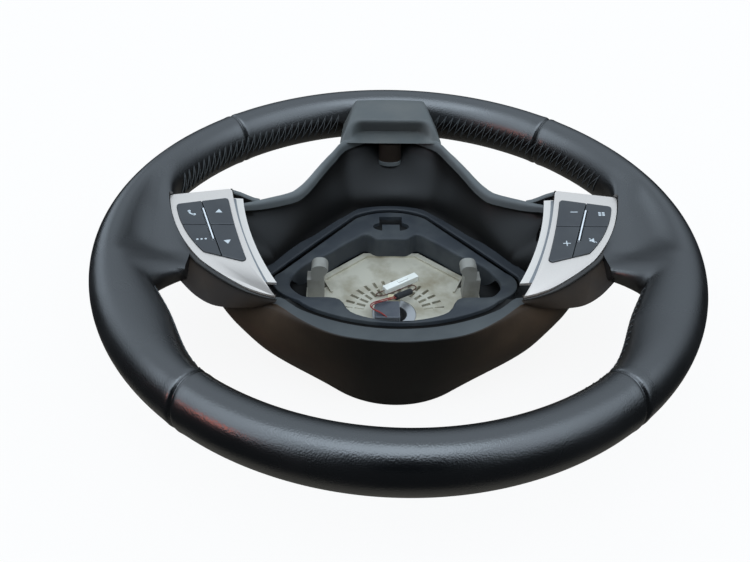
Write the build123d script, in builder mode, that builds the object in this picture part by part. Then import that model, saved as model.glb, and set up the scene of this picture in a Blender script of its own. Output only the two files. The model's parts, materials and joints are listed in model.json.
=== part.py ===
from build123d import *
import os
from math import atan2, cos, degrees, hypot, radians, sin, tan

# Car steering wheel without its airbag: padded leather rim, two switch spokes and an open hub.
# The origin is on the steering axis at the lower end of the hub bush. +Z points to the driver,
# +Y to twelve o'clock and +X to the driver's right. Clock angles run from twelve to the right.

# Rim and grip
RIM_RADIUS = 188.0
GRIP_WIDTH = 28.8
GRIP_DEPTH = 36.8
RIM_HEIGHT = 84.0
UPPER_SEAM_ANGLE = 39.0
LOWER_SEAM_ANGLE = 138.0
SEAM_GAP = 0.6
THUMB_REST = 10.5
THUMB_REST_ANGLE = 62.0
SPOKE_UPPER_ANGLE = 80.0
SPOKE_UPPER_BLEND = 4.5
SPOKE_LOWER_ANGLE = 108.0
SPOKE_LOWER_BLEND = 7.0
SPOKE_DEPTH = 22.0
SPOKE_EDGE_SHARE = 0.36

# Armature casting
RING_WIDTH = 12.0
RING_DEPTH = 11.0
RING_SIDES = 24
ARM_WIDTH = 14.0
ARM_THICKNESS = 5.0
ARM_BEND = 5.0
PLATE_TOP = 22.0
PLATE_THICKNESS = 6.0
BORDER_HEIGHT = 1.6
BORDER_WIDTH = 4.0
BUSH_RADIUS = 15.2
BORE_RADIUS = 8.5
BOSS_RADIUS = 20.0
SLOT_LENGTH = 6.5
SLOT_WIDTH = 2.2
SLOT_INNER_RADIUS = 24.5
SLOT_OUTER_RADIUS = 32.5
SLOT_PITCH = 11.25
POST_X = 54.0
POST_Y = -20.5
POST_WIDTH = 11.5
POST_DEPTH = 10.0
POST_HEIGHT = 29.0
POST_HOOK = 3.0

# Switch clusters, on a face that falls towards the hub and towards twelve o'clock
CLUSTER_INSET = 36.8
CLUSTER_DROP = 45.5
CLUSTER_RISE = 4.0
FACE_SLOPE_HUB = 0.076
FACE_SLOPE_TWELVE = 0.089
BEZEL_PLATE = 2.0
BEZEL_WALL = 1.2
BEZEL_DEPTH = 6.0
BEZEL_STEP = 4.0
BEZEL_CORNER = 2.5
WINDOW_CORNER = 2.5
KEY_GAP = 0.3
KEY_PITCH_GAP = 0.7
KEY_RISE = 1.0
KEY_DEPTH = 2.2
KEY_FLANGE = 0.6
KEY_FLANGE_THICKNESS = 1.0
KEY_TRAVEL = 1.0
LIGHT_BAR_WIDTH = 2.0
LIGHT_BAR_RISE = 1.6
HOUSING_WALL = 1.0
HOUSING_FLOOR = 1.6
BOARD_DEPTH = 7.2
BOARD_THICKNESS = 1.6
MAT_THICKNESS = 0.8
PAD_WIDTH = 5.0

# Covers
COVER_WALL = 3.0
COVER_FLATS = 18
COVER_BOTTOM = -4.0
COVER_REST_RADIUS = 60.0
COLUMN_OPENING_RADIUS = 40.0
LIP_BELOW_RIM = 16.0
SKIRT_BELOW_RIM = 20.0
SKIRT_END_INSET = 58.0
TRAY_BELOW_RIM = 44.0
TRAY_THICKNESS = 3.0
TRAY_WALL = 2.2
TRAY_HALF_WIDTH = 82.0
TRAY_NEAR_X = 58.0
TRAY_NEAR_Y = 43.5
TRAY_REACH = 60.0
TOWER_FRONT = -129.0
TOWER_RADIUS = 8.0
TOWER_TOP = 70.0
TRIM_RISE = 14.0
TRIM_SEAT_BELOW_RIM = 3.0
TRIM_PLATE = 3.0
SCREW_RADIUS = 2.0
SCREW_HEAD_RADIUS = 3.8
SCREW_HEAD_HEIGHT = 2.4
SCREW_LENGTH = 14.0
SCREW_CIRCLE = 48.8
WELL_WALL = 2.4
WELL_FLOOR = 2.6
WELL_DEPTH = 6.0

# Horn lead
PLUG_SIZE = 17.0
PLUG_HEIGHT = 8.0
CONNECTOR_LENGTH = 28.0
CONNECTOR_WIDTH = 5.4
CONNECTOR_HEIGHT = 4.8
SLEEVE_RADIUS = 2.2
LEAD_RADIUS = 0.9
LATCH_LENGTH = 8.4
LATCH_WIDTH = 4.4
LATCH_HEIGHT = 3.0

# Clearances
PANEL_GAP = 0.4
SEAT_GAP = 0.3

GRIP_RADIUS = RIM_RADIUS - GRIP_WIDTH / 2
LIP_HEIGHT = RIM_HEIGHT - LIP_BELOW_RIM
SKIRT_BOTTOM = RIM_HEIGHT - SKIRT_BELOW_RIM
TRAY_TOP = RIM_HEIGHT - TRAY_BELOW_RIM
TRIM_SEAT = RIM_HEIGHT - TRIM_SEAT_BELOW_RIM
PLATE_BOTTOM = PLATE_TOP - PLATE_THICKNESS
CORNER_X = RIM_RADIUS - CLUSTER_INSET
SKIRT_END_X = RIM_RADIUS - SKIRT_END_INSET
BOARD_TOP = BOARD_DEPTH - BOARD_THICKNESS
FACE = Plane(
    origin=(CORNER_X, -CLUSTER_DROP, RIM_HEIGHT + CLUSTER_RISE),
    x_dir=(1, 0, FACE_SLOPE_HUB),
    z_dir=(-FACE_SLOPE_HUB, FACE_SLOPE_TWELVE, 1),
)


def smooth(value):
    """Step from 0 to 1 with flat ends."""
    t = min(max(value, 0.0), 1.0)
    return t * t * (3 - 2 * t)


def face_height(x, y):
    """Height of the switch face over a point of the plan."""
    drop = FACE_SLOPE_HUB * (CORNER_X - x) + FACE_SLOPE_TWELVE * (y + CLUSTER_DROP)
    return RIM_HEIGHT + CLUSTER_RISE - drop


def face_points(*offsets):
    """Points on the switch face, given as plan offsets from the bezel's outer lower corner."""
    found = []
    for dx, dy in offsets:
        x, y = CORNER_X + dx, dy - CLUSTER_DROP
        local = FACE.to_local_coords(Vector(x, y, face_height(x, y)))
        found.append((local.X, local.Y))
    return found


def mirrored(half):
    """Closed outline from its half at +X, ordered from one end of the Y axis to the other."""
    return list(half) + [(-x, y) for x, y in reversed(half) if x > 0.01]


def opposite(piece):
    """Mirror image of a piece on the other side of the wheel."""
    return mirror(piece, about=Plane.YZ, mode=Mode.PRIVATE)


def export(piece, name):
    """Label a finished piece and write its STEP file."""
    piece.label = name
    export_step(piece, f"parts/{name}.step")


def export_pair(piece, name):
    """Write a piece of the right spoke and its mirror image on the left."""
    export(piece, f"right_{name}")
    export(opposite(piece), f"left_{name}")


def clock_plane(angle):
    """Plane through the steering axis at a clock angle, with its origin at the grip's centre."""
    a = radians(angle)
    out = Vector(sin(a), cos(a), 0)
    return Plane(
        origin=out * GRIP_RADIUS + Vector(0, 0, RIM_HEIGHT),
        x_dir=out,
        z_dir=(cos(a), -sin(a), 0),
    )


def thumb_bulge(angle):
    """Extra width on the grip's inner side."""
    rise = (angle - UPPER_SEAM_ANGLE) / (THUMB_REST_ANGLE - UPPER_SEAM_ANGLE)
    fall = (angle - THUMB_REST_ANGLE) / (90 - THUMB_REST_ANGLE)
    return THUMB_REST * min(smooth(rise), 1 - smooth(fall))


def spoke_share(angle):
    """How far the grip's section has become a spoke root: 0 on the plain rim, 1 on the spoke."""
    rise = (angle - SPOKE_UPPER_ANGLE + SPOKE_UPPER_BLEND) / (2 * SPOKE_UPPER_BLEND)
    fall = (angle - SPOKE_LOWER_ANGLE + SPOKE_LOWER_BLEND) / (2 * SPOKE_LOWER_BLEND)
    return min(smooth(rise), 1 - smooth(fall))


def oval_points(half_width, half_depth, inner_width):
    """Points every 18 degrees round an oval whose inner side may be wider than its outer side."""
    found = []
    for turn in range(90, -270, -18):
        c, s = cos(radians(turn)), sin(radians(turn))
        found.append((c * (half_width if c > 0 else inner_width), s * half_depth))
    return found


def grip_section(angle):
    """Grip outline at a clock angle: an oval that grows a thumb rest and then a spoke root."""
    oval = oval_points(GRIP_WIDTH / 2, GRIP_DEPTH / 2, GRIP_WIDTH / 2 + thumb_bulge(angle))
    radius = RIM_RADIUS - 71 + 1.26 * (angle - SPOKE_UPPER_ANGLE)
    a = radians(angle)
    top = face_height(radius * sin(a), radius * cos(a)) - RIM_HEIGHT + 0.6
    thickening = smooth((angle - SPOKE_UPPER_ANGLE) / (2 * SPOKE_UPPER_BLEND))
    bottom = -SPOKE_DEPTH * (SPOKE_EDGE_SHARE + (1 - SPOKE_EDGE_SHARE) * thickening)
    middle = (top + bottom) / 2
    reach = radius - GRIP_RADIUS
    root = oval[:11] + [
        (0.24 * reach, 0.7 * bottom + 0.3 * -GRIP_DEPTH / 2),
        (0.56 * reach, bottom),
        (0.88 * reach, bottom),
        (0.98 * reach, (middle + bottom) / 2),
        (reach, middle),
        (0.98 * reach, (middle + top) / 2),
        (0.88 * reach, top),
        (0.54 * reach, top + 3),
        (0.26 * reach, top + 9),
    ]
    w = spoke_share(angle)
    points = [(p[0] + w * (q[0] - p[0]), p[1] + w * (q[1] - p[1])) for p, q in zip(oval, root)]
    with BuildSketch(clock_plane(angle)) as section:
        with BuildLine():
            Polyline(*points, close=True)
        make_face()
    return section.sketch


def bezel_face(depth, grow):
    """Bezel outline, grown by a margin, at a depth below the switch face."""
    corner, bow, shoulder = face_points((0, 0), (-11.2, 35.2), (-28, 60.2))
    sweep, tip = face_points((-52.5, 78.8), (-76.7, 91.5))
    hollow, inner = face_points((-53.9, 40.3), (-39.7, -11.3))
    with BuildSketch(FACE.offset(-depth)) as face:
        with BuildLine():
            ThreePointArc(corner, bow, shoulder)
            ThreePointArc(shoulder, sweep, tip)
            ThreePointArc(tip, hollow, inner)
            Line(inner, corner)
        make_face()
        fillet(face.vertices(), BEZEL_CORNER)
        offset(amount=grow)
    return face.sketch


def step_face(depth):
    """Outline of the bezel's lower step on its hub side."""
    low, hollow, high = face_points((-47.8, -6.0), (-57.8, 33.4), (-76.1, 72.9))
    back_low, back_hollow, back_high = face_points((-40.4, -6.0), (-50.7, 33.4), (-67.7, 72.9))
    with BuildSketch(FACE.offset(-depth)) as face:
        with BuildLine():
            ThreePointArc(low, hollow, high)
            Line(high, back_high)
            ThreePointArc(back_high, back_hollow, back_low)
            Line(back_low, low)
        make_face()
    return face.sketch


def window_face(depth, grow):
    """Key window outline, grown by a margin, at a depth below the switch face."""
    low_outer, bow, up_outer = face_points((-5.6, 10.0), (-14.6, 33.8), (-29.4, 54.2))
    up_inner, hollow, low_inner = face_points((-57.7, 61.4), (-47.3, 31.5), (-38.6, -0.5))
    with BuildSketch(FACE.offset(-depth)) as face:
        with BuildLine():
            ThreePointArc(low_outer, bow, up_outer)
            Line(up_outer, up_inner)
            ThreePointArc(up_inner, hollow, low_inner)
            Line(low_inner, low_outer)
        make_face()
        fillet(face.vertices(), WINDOW_CORNER)
        offset(amount=grow)
    return face.sketch


def light_bar_face(depth, grow):
    """Outline of the narrow bar between the two key columns."""
    (x0, y0), (x1, y1) = face_points((-23.7, 13.5), (-34.0, 42.2))
    with BuildSketch(FACE.offset(-depth)) as face:
        with Locations(((x0 + x1) / 2, (y0 + y1) / 2)):
            SlotCenterToCenter(
                hypot(x1 - x0, y1 - y0),
                LIGHT_BAR_WIDTH + 2 * grow,
                rotation=degrees(atan2(y1 - y0, x1 - x0)),
            )
    return face.sketch


def board_face(depth):
    """Outline of the circuit board and of the mat on it, straight-sided inside the window."""
    corners = face_points(
        (-6.6, 11.4), (-14.9, 33.6), (-29.4, 53.0), (-55.8, 60.4), (-46.8, 31.0), (-38.4, 1.6)
    )
    with BuildSketch(FACE.offset(-depth)) as face:
        with BuildLine():
            Polyline(*corners, close=True)
        make_face()
    return face.sketch


def dividing_plane(start, end):
    """Plane square to the switch face through two of its points, facing right of the way."""
    (x0, y0), (x1, y1) = face_points(start, end)
    across = FACE.from_local_coords(Vector(y1 - y0, x0 - x1, 0)) - FACE.origin
    return Plane(origin=FACE.from_local_coords(Vector(x0, y0, 0)), z_dir=across)


def facet(a, b, c):
    """Plane through three points, facing away from the steering axis."""
    normal = (b - a).cross(c - a)
    outward = Vector(1, 1, 0) if normal.dot(Vector(1, 1, 0)) > 0 else Vector(-1, -1, 0)
    return Plane(origin=a, z_dir=normal * outward.X)


def faceted(sections):
    """Closed solid of flat facets through outlines of as many points each, from the lowest up."""
    outlines = [sections[0], sections[-1]]
    for low, high in zip(sections, sections[1:]):
        for k in range(len(low)):
            outlines.append([low[k - 1], low[k], high[k]])
            outlines.append([low[k - 1], high[k], high[k - 1]])
    return Solid(Shell([Face(Wire.make_polygon(outline)) for outline in outlines]))


def cover_section(height, radii, inset):
    """Rear cover outline at a height, from radii at even steps of clock angle on one half."""
    ends = [radii[1], *radii, radii[-2]]
    half = []
    for k in range(COVER_FLATS + 1):
        place = k * (len(radii) - 1) / COVER_FLATS
        i = min(int(place), len(radii) - 2)
        t = place - i
        r0, r1, r2, r3 = ends[i : i + 4]
        slope_1, slope_2 = (r2 - r0) / 2, (r3 - r1) / 2
        bend = (r2 - r1) * smooth(t) + t * (1 - t) * ((1 - t) * slope_1 - t * slope_2)
        a = radians(180 * k / COVER_FLATS)
        half.append(((r1 + bend - inset) * sin(a), (r1 + bend - inset) * cos(a)))
    return [(x, y, height) for x, y in mirrored(half)]


def cover_radii(height):
    """Radii of the rear cover's outline at a height, on a parabola through its three measured ones."""
    shares = []
    for own in cover_levels:
        share = 1.0
        for other in cover_levels:
            if other != own:
                share *= (height - other) / (own - other)
        shares.append(share)
    return [sum(s * r for s, r in zip(shares, radii)) for radii in zip(*cover_levels.values())]


def cover_body(inset):
    """Bowl of the rear cover as a solid, or its inside when inset by the wall."""
    low, middle, high = cover_levels
    heights = [low, 0.7 * low + 0.3 * middle, 0.35 * low + 0.65 * middle, middle, (middle + high) / 2, high]
    return faceted([cover_section(height, cover_radii(height), inset) for height in heights])


def lead(points):
    """Round wire along a route, with each bend as wide as its shorter run allows."""
    route = [Vector(*p) for p in points]
    bends = []
    for before, corner, after in zip(route, route[1:], route[2:]):
        half_turn = radians((corner - before).get_angle(after - corner)) / 2
        bends.append(0.45 * min((corner - before).length, (after - corner).length) / tan(half_turn))
    print("bend radii", [round(bend, 1) for bend in bends])
    with BuildPart() as wire:
        with BuildLine() as path:
            FilletPolyline(*route, radius=bends)
        with BuildSketch(Plane(origin=path.line @ 0, z_dir=path.line % 0)):
            RegularPolygon(LEAD_RADIUS, 6)
        sweep()
    return wire.part


os.makedirs("parts", exist_ok=True)

# Near edge of the inner cover, and the lip's inner edge a gap outside it
tray_near = ((TRAY_NEAR_X, TRAY_NEAR_Y), (0, TRAY_REACH), (-TRAY_NEAR_X, TRAY_NEAR_Y))
lip_edge = [(x * (1 + SEAT_GAP / TRAY_REACH), y + SEAT_GAP) for x, y in tray_near]

# Armature casting: hub plate with a raised border and slots, posts, side arms and the rim ring
with BuildPart() as ring:
    with BuildSketch(Plane.XY.offset(RIM_HEIGHT - RING_DEPTH / 2)):
        RegularPolygon(GRIP_RADIUS + RING_WIDTH / 2, RING_SIDES)
        RegularPolygon(GRIP_RADIUS - RING_WIDTH / 2, RING_SIDES, mode=Mode.SUBTRACT)
    extrude(amount=RING_DEPTH)

arm_level = SKIRT_BOTTOM + ARM_THICKNESS / 2 + SEAT_GAP
arm_route = (
    (BOSS_RADIUS, PLATE_TOP - PLATE_THICKNESS / 2),
    (TRAY_HALF_WIDTH - 14, PLATE_TOP - PLATE_THICKNESS / 2),
    (TRAY_HALF_WIDTH + 5, TRAY_TOP - 1),
    (RIM_RADIUS - 88, SKIRT_BOTTOM - 1),
    (RIM_RADIUS - 78, arm_level),
    (RIM_RADIUS - 44, arm_level),
    (GRIP_RADIUS, RIM_HEIGHT),
)
with BuildPart() as arm:
    with BuildSketch(Plane.XZ):
        with BuildLine():
            FilletPolyline(*arm_route, radius=ARM_BEND)
        trace(line_width=ARM_THICKNESS)
    extrude(amount=ARM_WIDTH / 2, both=True)

plate_half = [(20.4, -66), (51, -38.4), (42, -18), (34, -4), (34, 22), (20, 40), (9, 55)]
border_half = [(x - BORDER_WIDTH * 0.7, y + BORDER_WIDTH * 0.8) for x, y in plate_half[:3]]
screw_side = SCREW_CIRCLE * sin(radians(48))
screw_back = SCREW_CIRCLE * cos(radians(48))
screw_spots = [(screw_side, -screw_back), (-screw_side, -screw_back), (0, SCREW_CIRCLE)]
boss_end = COVER_BOTTOM + WELL_DEPTH + WELL_FLOOR
with BuildPart() as armature:
    with BuildSketch(Plane.XY.offset(PLATE_BOTTOM)):
        with BuildLine():
            Polyline(*mirrored(plate_half), close=True)
        make_face()
    extrude(amount=PLATE_THICKNESS)
    with BuildSketch(Plane.XY.offset(PLATE_TOP)):
        with BuildLine():
            Polyline(*mirrored(plate_half[:3]), close=True)
        make_face()
        with BuildLine():
            Polyline(*mirrored(border_half), close=True)
        make_face(mode=Mode.SUBTRACT)
        with Locations((0, plate_half[2][1])):
            Rectangle(2 * plate_half[1][0], 2 * BORDER_WIDTH, mode=Mode.SUBTRACT)
    extrude(amount=BORDER_HEIGHT)
    with BuildSketch(Plane.XY):
        Circle(BOSS_RADIUS)
        Circle(BUSH_RADIUS, mode=Mode.SUBTRACT)
    extrude(amount=PLATE_BOTTOM)
    with BuildSketch(Plane.XY.offset(boss_end)):
        with Locations(*screw_spots):
            RegularPolygon(SCREW_HEAD_RADIUS + 1, 8)
    extrude(until=Until.NEXT)
    with BuildSketch(Plane.XY.offset(boss_end)):
        with Locations(*screw_spots):
            RegularPolygon(SCREW_RADIUS, 8)
    extrude(amount=SCREW_LENGTH, mode=Mode.SUBTRACT)
    with BuildSketch(Plane.XY.offset(PLATE_TOP)):
        for radius in (SLOT_INNER_RADIUS, SLOT_OUTER_RADIUS):
            with PolarLocations(radius, 15, start_angle=191.25, angular_range=15 * SLOT_PITCH):
                Rectangle(SLOT_LENGTH, SLOT_WIDTH)
    extrude(amount=-PLATE_THICKNESS / 2, mode=Mode.SUBTRACT)
    with BuildSketch(Plane.XY.offset(PLATE_TOP)):
        Circle(BUSH_RADIUS)
    extrude(amount=-PLATE_THICKNESS, mode=Mode.SUBTRACT)
    with BuildSketch(Plane.XZ.offset(-POST_Y)):
        with BuildLine():
            Polyline(
                (POST_X - POST_WIDTH / 2, PLATE_BOTTOM),
                (POST_X - POST_WIDTH / 2, PLATE_TOP + POST_HEIGHT - 9),
                (POST_X - POST_WIDTH / 2 - POST_HOOK, PLATE_TOP + POST_HEIGHT - 5),
                (POST_X - POST_WIDTH / 2 - POST_HOOK, PLATE_TOP + POST_HEIGHT),
                (POST_X + POST_WIDTH / 2 - 3, PLATE_TOP + POST_HEIGHT),
                (POST_X + POST_WIDTH / 2 - 3, PLATE_TOP + POST_HEIGHT - 12),
                (POST_X + POST_WIDTH / 2, PLATE_TOP + POST_HEIGHT - 12),
                (POST_X + POST_WIDTH / 2, PLATE_BOTTOM),
                close=True,
            )
        make_face()
    post = extrude(amount=POST_DEPTH / 2, both=True)
    with BuildSketch(Plane.XY.offset(PLATE_BOTTOM)):
        with BuildLine():
            Polyline(
                (34, -4),
                (42, -28),
                (POST_X + 7, -28),
                (POST_X + 7, ARM_WIDTH / 2),
                (34, ARM_WIDTH / 2),
                close=True,
            )
        make_face()
    extrude(amount=PLATE_THICKNESS)
    mirror(about=Plane.YZ)
    add(ring.part)
    add(arm.part)
    add(opposite(arm.part))
    with BuildSketch(Plane.XY):
        Circle(BUSH_RADIUS)
    extrude(amount=PLATE_TOP, mode=Mode.SUBTRACT)
export(armature.part, "armature")

with BuildPart() as hub_bush:
    with BuildSketch(Plane.XY):
        Circle(BUSH_RADIUS)
        Circle(BORE_RADIUS, mode=Mode.SUBTRACT)
    extrude(amount=PLATE_TOP)
export(hub_bush.part, "hub_bush")

# Leather grip: four sewn panels over the padding, in one sleeve round the armature ring
seam_half = degrees(SEAM_GAP / 2 / GRIP_RADIUS)
panel_stops = [
    (UPPER_SEAM_ANGLE + seam_half, 4),
    (THUMB_REST_ANGLE, 2),
    (SPOKE_UPPER_ANGLE - SPOKE_UPPER_BLEND, 4),
    (SPOKE_UPPER_ANGLE + SPOKE_UPPER_BLEND, 3),
    (SPOKE_LOWER_ANGLE - SPOKE_LOWER_BLEND, 4),
    (SPOKE_LOWER_ANGLE + SPOKE_LOWER_BLEND, 4),
    (LOWER_SEAM_ANGLE - seam_half, 1),
]
panel_angles = []
for (angle, count), (next_angle, _) in zip(panel_stops, panel_stops[1:]):
    panel_angles += [angle + k * (next_angle - angle) / count for k in range(count)]
panel_angles.append(panel_stops[-1][0])
with BuildPart() as side_panel:
    loft([grip_section(angle) for angle in panel_angles], ruled=True)
    extrude(bezel_face(0, PANEL_GAP), amount=GRIP_DEPTH * 2, both=True, mode=Mode.SUBTRACT)
    with Locations((0, 0, RIM_HEIGHT)):
        Box(2 * SKIRT_END_X, 0.8 * RIM_RADIUS, 4 * GRIP_DEPTH, mode=Mode.SUBTRACT)
    add(ring.part, mode=Mode.SUBTRACT)
    add(arm.part, mode=Mode.SUBTRACT)

with BuildPart() as leather_grip:
    for middle, half_arc in ((0, UPPER_SEAM_ANGLE - seam_half), (180, 180 - LOWER_SEAM_ANGLE - seam_half)):
        revolve(grip_section(middle + half_arc), axis=Axis.Z, revolution_arc=2 * half_arc)
    add(ring.part, mode=Mode.SUBTRACT)
    add(side_panel.part)
    add(opposite(side_panel.part))
export(leather_grip.part, "leather_grip")

# Bezel: satin frame with a rolled wall round its edge and a lower step towards the hub
with BuildPart() as bezel:
    extrude(bezel_face(0, 0), amount=-BEZEL_DEPTH)
    extrude(bezel_face(BEZEL_PLATE, -BEZEL_WALL), amount=-BEZEL_DEPTH, mode=Mode.SUBTRACT)
    extrude(step_face(BEZEL_STEP), amount=-BEZEL_PLATE)
    extrude(window_face(0, 0), amount=-BEZEL_DEPTH - 1, mode=Mode.SUBTRACT)
export_pair(bezel.part, "bezel")

# Switch housing, board, contact mat and light bar
housing_margin = KEY_FLANGE + SEAT_GAP
housing_depth = BOARD_DEPTH + HOUSING_FLOOR
with BuildPart() as housing:
    extrude(window_face(BEZEL_PLATE, housing_margin + HOUSING_WALL), amount=BEZEL_PLATE - housing_depth)
    extrude(window_face(BEZEL_PLATE, housing_margin), amount=BEZEL_PLATE - BOARD_DEPTH, mode=Mode.SUBTRACT)
export_pair(housing.part, "switch_housing")

with BuildPart() as board:
    extrude(board_face(BOARD_DEPTH), amount=BOARD_THICKNESS)
export_pair(board.part, "switch_board")

pad_centres = face_points((-19.5, 22.0), (-27.5, 44.5), (-37.2, 13.5), (-46.2, 42.5))
pad_height = BOARD_TOP - MAT_THICKNESS - KEY_DEPTH - KEY_FLANGE_THICKNESS - KEY_TRAVEL - SEAT_GAP / 2
with BuildPart() as mat:
    extrude(board_face(BOARD_TOP), amount=MAT_THICKNESS)
    with BuildSketch(FACE.offset(-BOARD_TOP + MAT_THICKNESS)):
        with Locations(*pad_centres):
            Rectangle(PAD_WIDTH, PAD_WIDTH)
    extrude(amount=pad_height)
    extrude(light_bar_face(BOARD_TOP, SEAT_GAP), amount=BOARD_DEPTH, mode=Mode.SUBTRACT)
export_pair(mat.part, "switch_mat")

with BuildPart() as light_bar:
    extrude(light_bar_face(BOARD_TOP, 0), amount=BOARD_TOP + LIGHT_BAR_RISE)
export_pair(light_bar.part, "light_bar")

# Keys: two columns by two rows in each window, with a flange held under the bezel
column_cut = dividing_plane((-21.5, 5.3), (-41.0, 57.1))
row_cut = dividing_plane((-47.6, 26.6), (-13.1, 30.2))
key_names = {
    ("outer", "lower"): ("right_key_phone", "left_key_menu"),
    ("outer", "upper"): ("right_key_source", "left_key_mute"),
    ("inner", "lower"): ("right_key_down", "left_key_minus"),
    ("inner", "upper"): ("right_key_up", "left_key_plus"),
}
half_gap = KEY_PITCH_GAP / 2
for (column, row), (right_name, left_name) in key_names.items():
    with BuildPart() as key:
        extrude(window_face(KEY_DEPTH, -KEY_GAP), amount=KEY_DEPTH + KEY_RISE)
        extrude(window_face(KEY_DEPTH, KEY_FLANGE), amount=-KEY_FLANGE_THICKNESS)
        extrude(light_bar_face(BOARD_DEPTH, KEY_GAP), amount=2 * BOARD_DEPTH, mode=Mode.SUBTRACT)
        if column == "outer":
            split(bisect_by=column_cut.offset(half_gap), keep=Keep.TOP)
        else:
            split(bisect_by=column_cut.offset(-half_gap), keep=Keep.BOTTOM)
        if row == "lower":
            split(bisect_by=row_cut.offset(half_gap), keep=Keep.TOP)
        else:
            split(bisect_by=row_cut.offset(-half_gap), keep=Keep.BOTTOM)
    export(key.part, right_name)
    export(opposite(key.part), left_name)

# Spoke skirt: moulded body below the bezel that flares towards the lip, with a switch pocket
skirt_end = SKIRT_END_X - PANEL_GAP
tip_x, tip_y = CORNER_X - 80.0, 95.2 - CLUSTER_DROP
tip = Vector(tip_x, tip_y, face_height(tip_x, tip_y))
foot_hub, foot_rim = Vector(75, 37.5, SKIRT_BOTTOM), Vector(113.7, 39.3, SKIRT_BOTTOM)
end_low = Vector(134.5, 28.3, RIM_HEIGHT - 8)
end_high = Vector(skirt_end, 9.5, face_height(skirt_end, 9.5))
skirt_plan = [
    (skirt_end, -53.6), (111.4, -57.4), (104, -34.3), (95.1, -6.2), (tip_x + 1, tip_y - 5),
    (tip_x + 2, RIM_RADIUS / 3), (skirt_end, RIM_RADIUS / 3),
]
shoulder_plane = facet(tip, end_high, end_low)
flank_plane = facet(tip, end_low, foot_rim)
undercut_plane = facet(tip, foot_rim, foot_hub)
belly_plane = facet(end_low, end_low + Vector(0, -RIM_RADIUS, 0), foot_rim)
with BuildPart() as spoke_skirt:
    with BuildSketch(Plane.XY.offset(SKIRT_BOTTOM)):
        with BuildLine():
            Polyline(*skirt_plan, close=True)
        make_face()
    extrude(amount=RIM_HEIGHT)
    split(bisect_by=FACE, keep=Keep.BOTTOM)
    for plane in (shoulder_plane, flank_plane, undercut_plane, belly_plane):
        split(bisect_by=plane, keep=Keep.BOTTOM)
    extrude(bezel_face(0, PANEL_GAP), amount=-BEZEL_DEPTH - SEAT_GAP, mode=Mode.SUBTRACT)
    extrude(
        window_face(0, housing_margin + HOUSING_WALL + SEAT_GAP),
        amount=-housing_depth,
        mode=Mode.SUBTRACT,
    )
    extrude(step_face(0), amount=-BEZEL_STEP - BEZEL_PLATE - SEAT_GAP, mode=Mode.SUBTRACT)
    add(arm.part, mode=Mode.SUBTRACT)
export_pair(spoke_skirt.part, "spoke_skirt")

# Rear cover: a moulded bowl whose outline grows from the rest ring to the spokes
spoke_reach = RIM_RADIUS - 64
tongue_reach = RIM_RADIUS - GRIP_WIDTH - 7
cover_levels = {
    COVER_BOTTOM: [COVER_REST_RADIUS] * 9,
    TRAY_TOP - 4: [71, 74.5, 84, 100.5, 110, 101.5, 88, 96, 112],
    RIM_HEIGHT + 4: [79, 80.8, 85.5, 101, spoke_reach, spoke_reach - 4, 100, tongue_reach - 30, tongue_reach],
}
edge_profile = [
    (RIM_RADIUS, LIP_HEIGHT),
    (48, LIP_HEIGHT),
    (44, SKIRT_BOTTOM),
    (-50, SKIRT_BOTTOM),
    (-55, RIM_HEIGHT - 8),
    (-70, RIM_HEIGHT - 7),
    (-108, RIM_HEIGHT),
    (-120, RIM_HEIGHT),
    (-122, TRIM_SEAT),
    (-RIM_RADIUS, TRIM_SEAT),
    (-RIM_RADIUS, 2 * RIM_HEIGHT),
    (RIM_RADIUS, 2 * RIM_HEIGHT),
]
with BuildPart() as cover_hollow:
    add(cover_body(COVER_WALL))
    split(bisect_by=Plane.XY.offset(COVER_BOTTOM + COVER_WALL), keep=Keep.TOP)
    with BuildSketch(Plane.XY.offset(LIP_HEIGHT - COVER_WALL)):
        with Locations((0, lip_edge[0][1])):
            Rectangle(2 * RIM_RADIUS, RIM_RADIUS, align=(Align.CENTER, Align.MIN))
        with BuildLine():
            ThreePointArc(*lip_edge)
            Line(lip_edge[2], lip_edge[0])
        make_face(mode=Mode.SUBTRACT)
    extrude(amount=COVER_WALL, mode=Mode.SUBTRACT)
    with BuildSketch(Plane.XY.offset(TRAY_TOP)):
        with Locations((0, TOWER_FRONT)):
            Rectangle(2 * TOWER_RADIUS, 2 * TOWER_RADIUS, align=(Align.CENTER, Align.MAX))
    extrude(amount=TOWER_TOP - TRAY_TOP, mode=Mode.SUBTRACT)
with BuildPart() as rear_cover:
    add(cover_body(0))
    add(cover_hollow.part, mode=Mode.SUBTRACT)
    with BuildSketch(Plane.YZ):
        with BuildLine():
            Polyline(*edge_profile, close=True)
        make_face()
    extrude(amount=RIM_RADIUS, both=True, mode=Mode.SUBTRACT)
    with BuildSketch(Plane.XY.offset(COVER_BOTTOM)):
        Circle(COLUMN_OPENING_RADIUS)
    extrude(amount=COVER_WALL, mode=Mode.SUBTRACT)
    with BuildSketch(Plane.XY.offset(COVER_BOTTOM)):
        with Locations(*screw_spots):
            RegularPolygon(SCREW_HEAD_RADIUS + WELL_WALL, 8)
    extrude(amount=WELL_DEPTH + WELL_FLOOR)
    with BuildSketch(Plane.XY.offset(COVER_BOTTOM)):
        with Locations(*screw_spots):
            RegularPolygon(SCREW_HEAD_RADIUS + SEAT_GAP, 8)
    extrude(amount=WELL_DEPTH, mode=Mode.SUBTRACT)
    with BuildSketch(Plane.XY.offset(COVER_BOTTOM)):
        with Locations(*screw_spots):
            RegularPolygon(SCREW_RADIUS + SEAT_GAP, 8)
    extrude(amount=WELL_DEPTH + WELL_FLOOR, mode=Mode.SUBTRACT)
export(rear_cover.part, "rear_cover")

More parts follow.
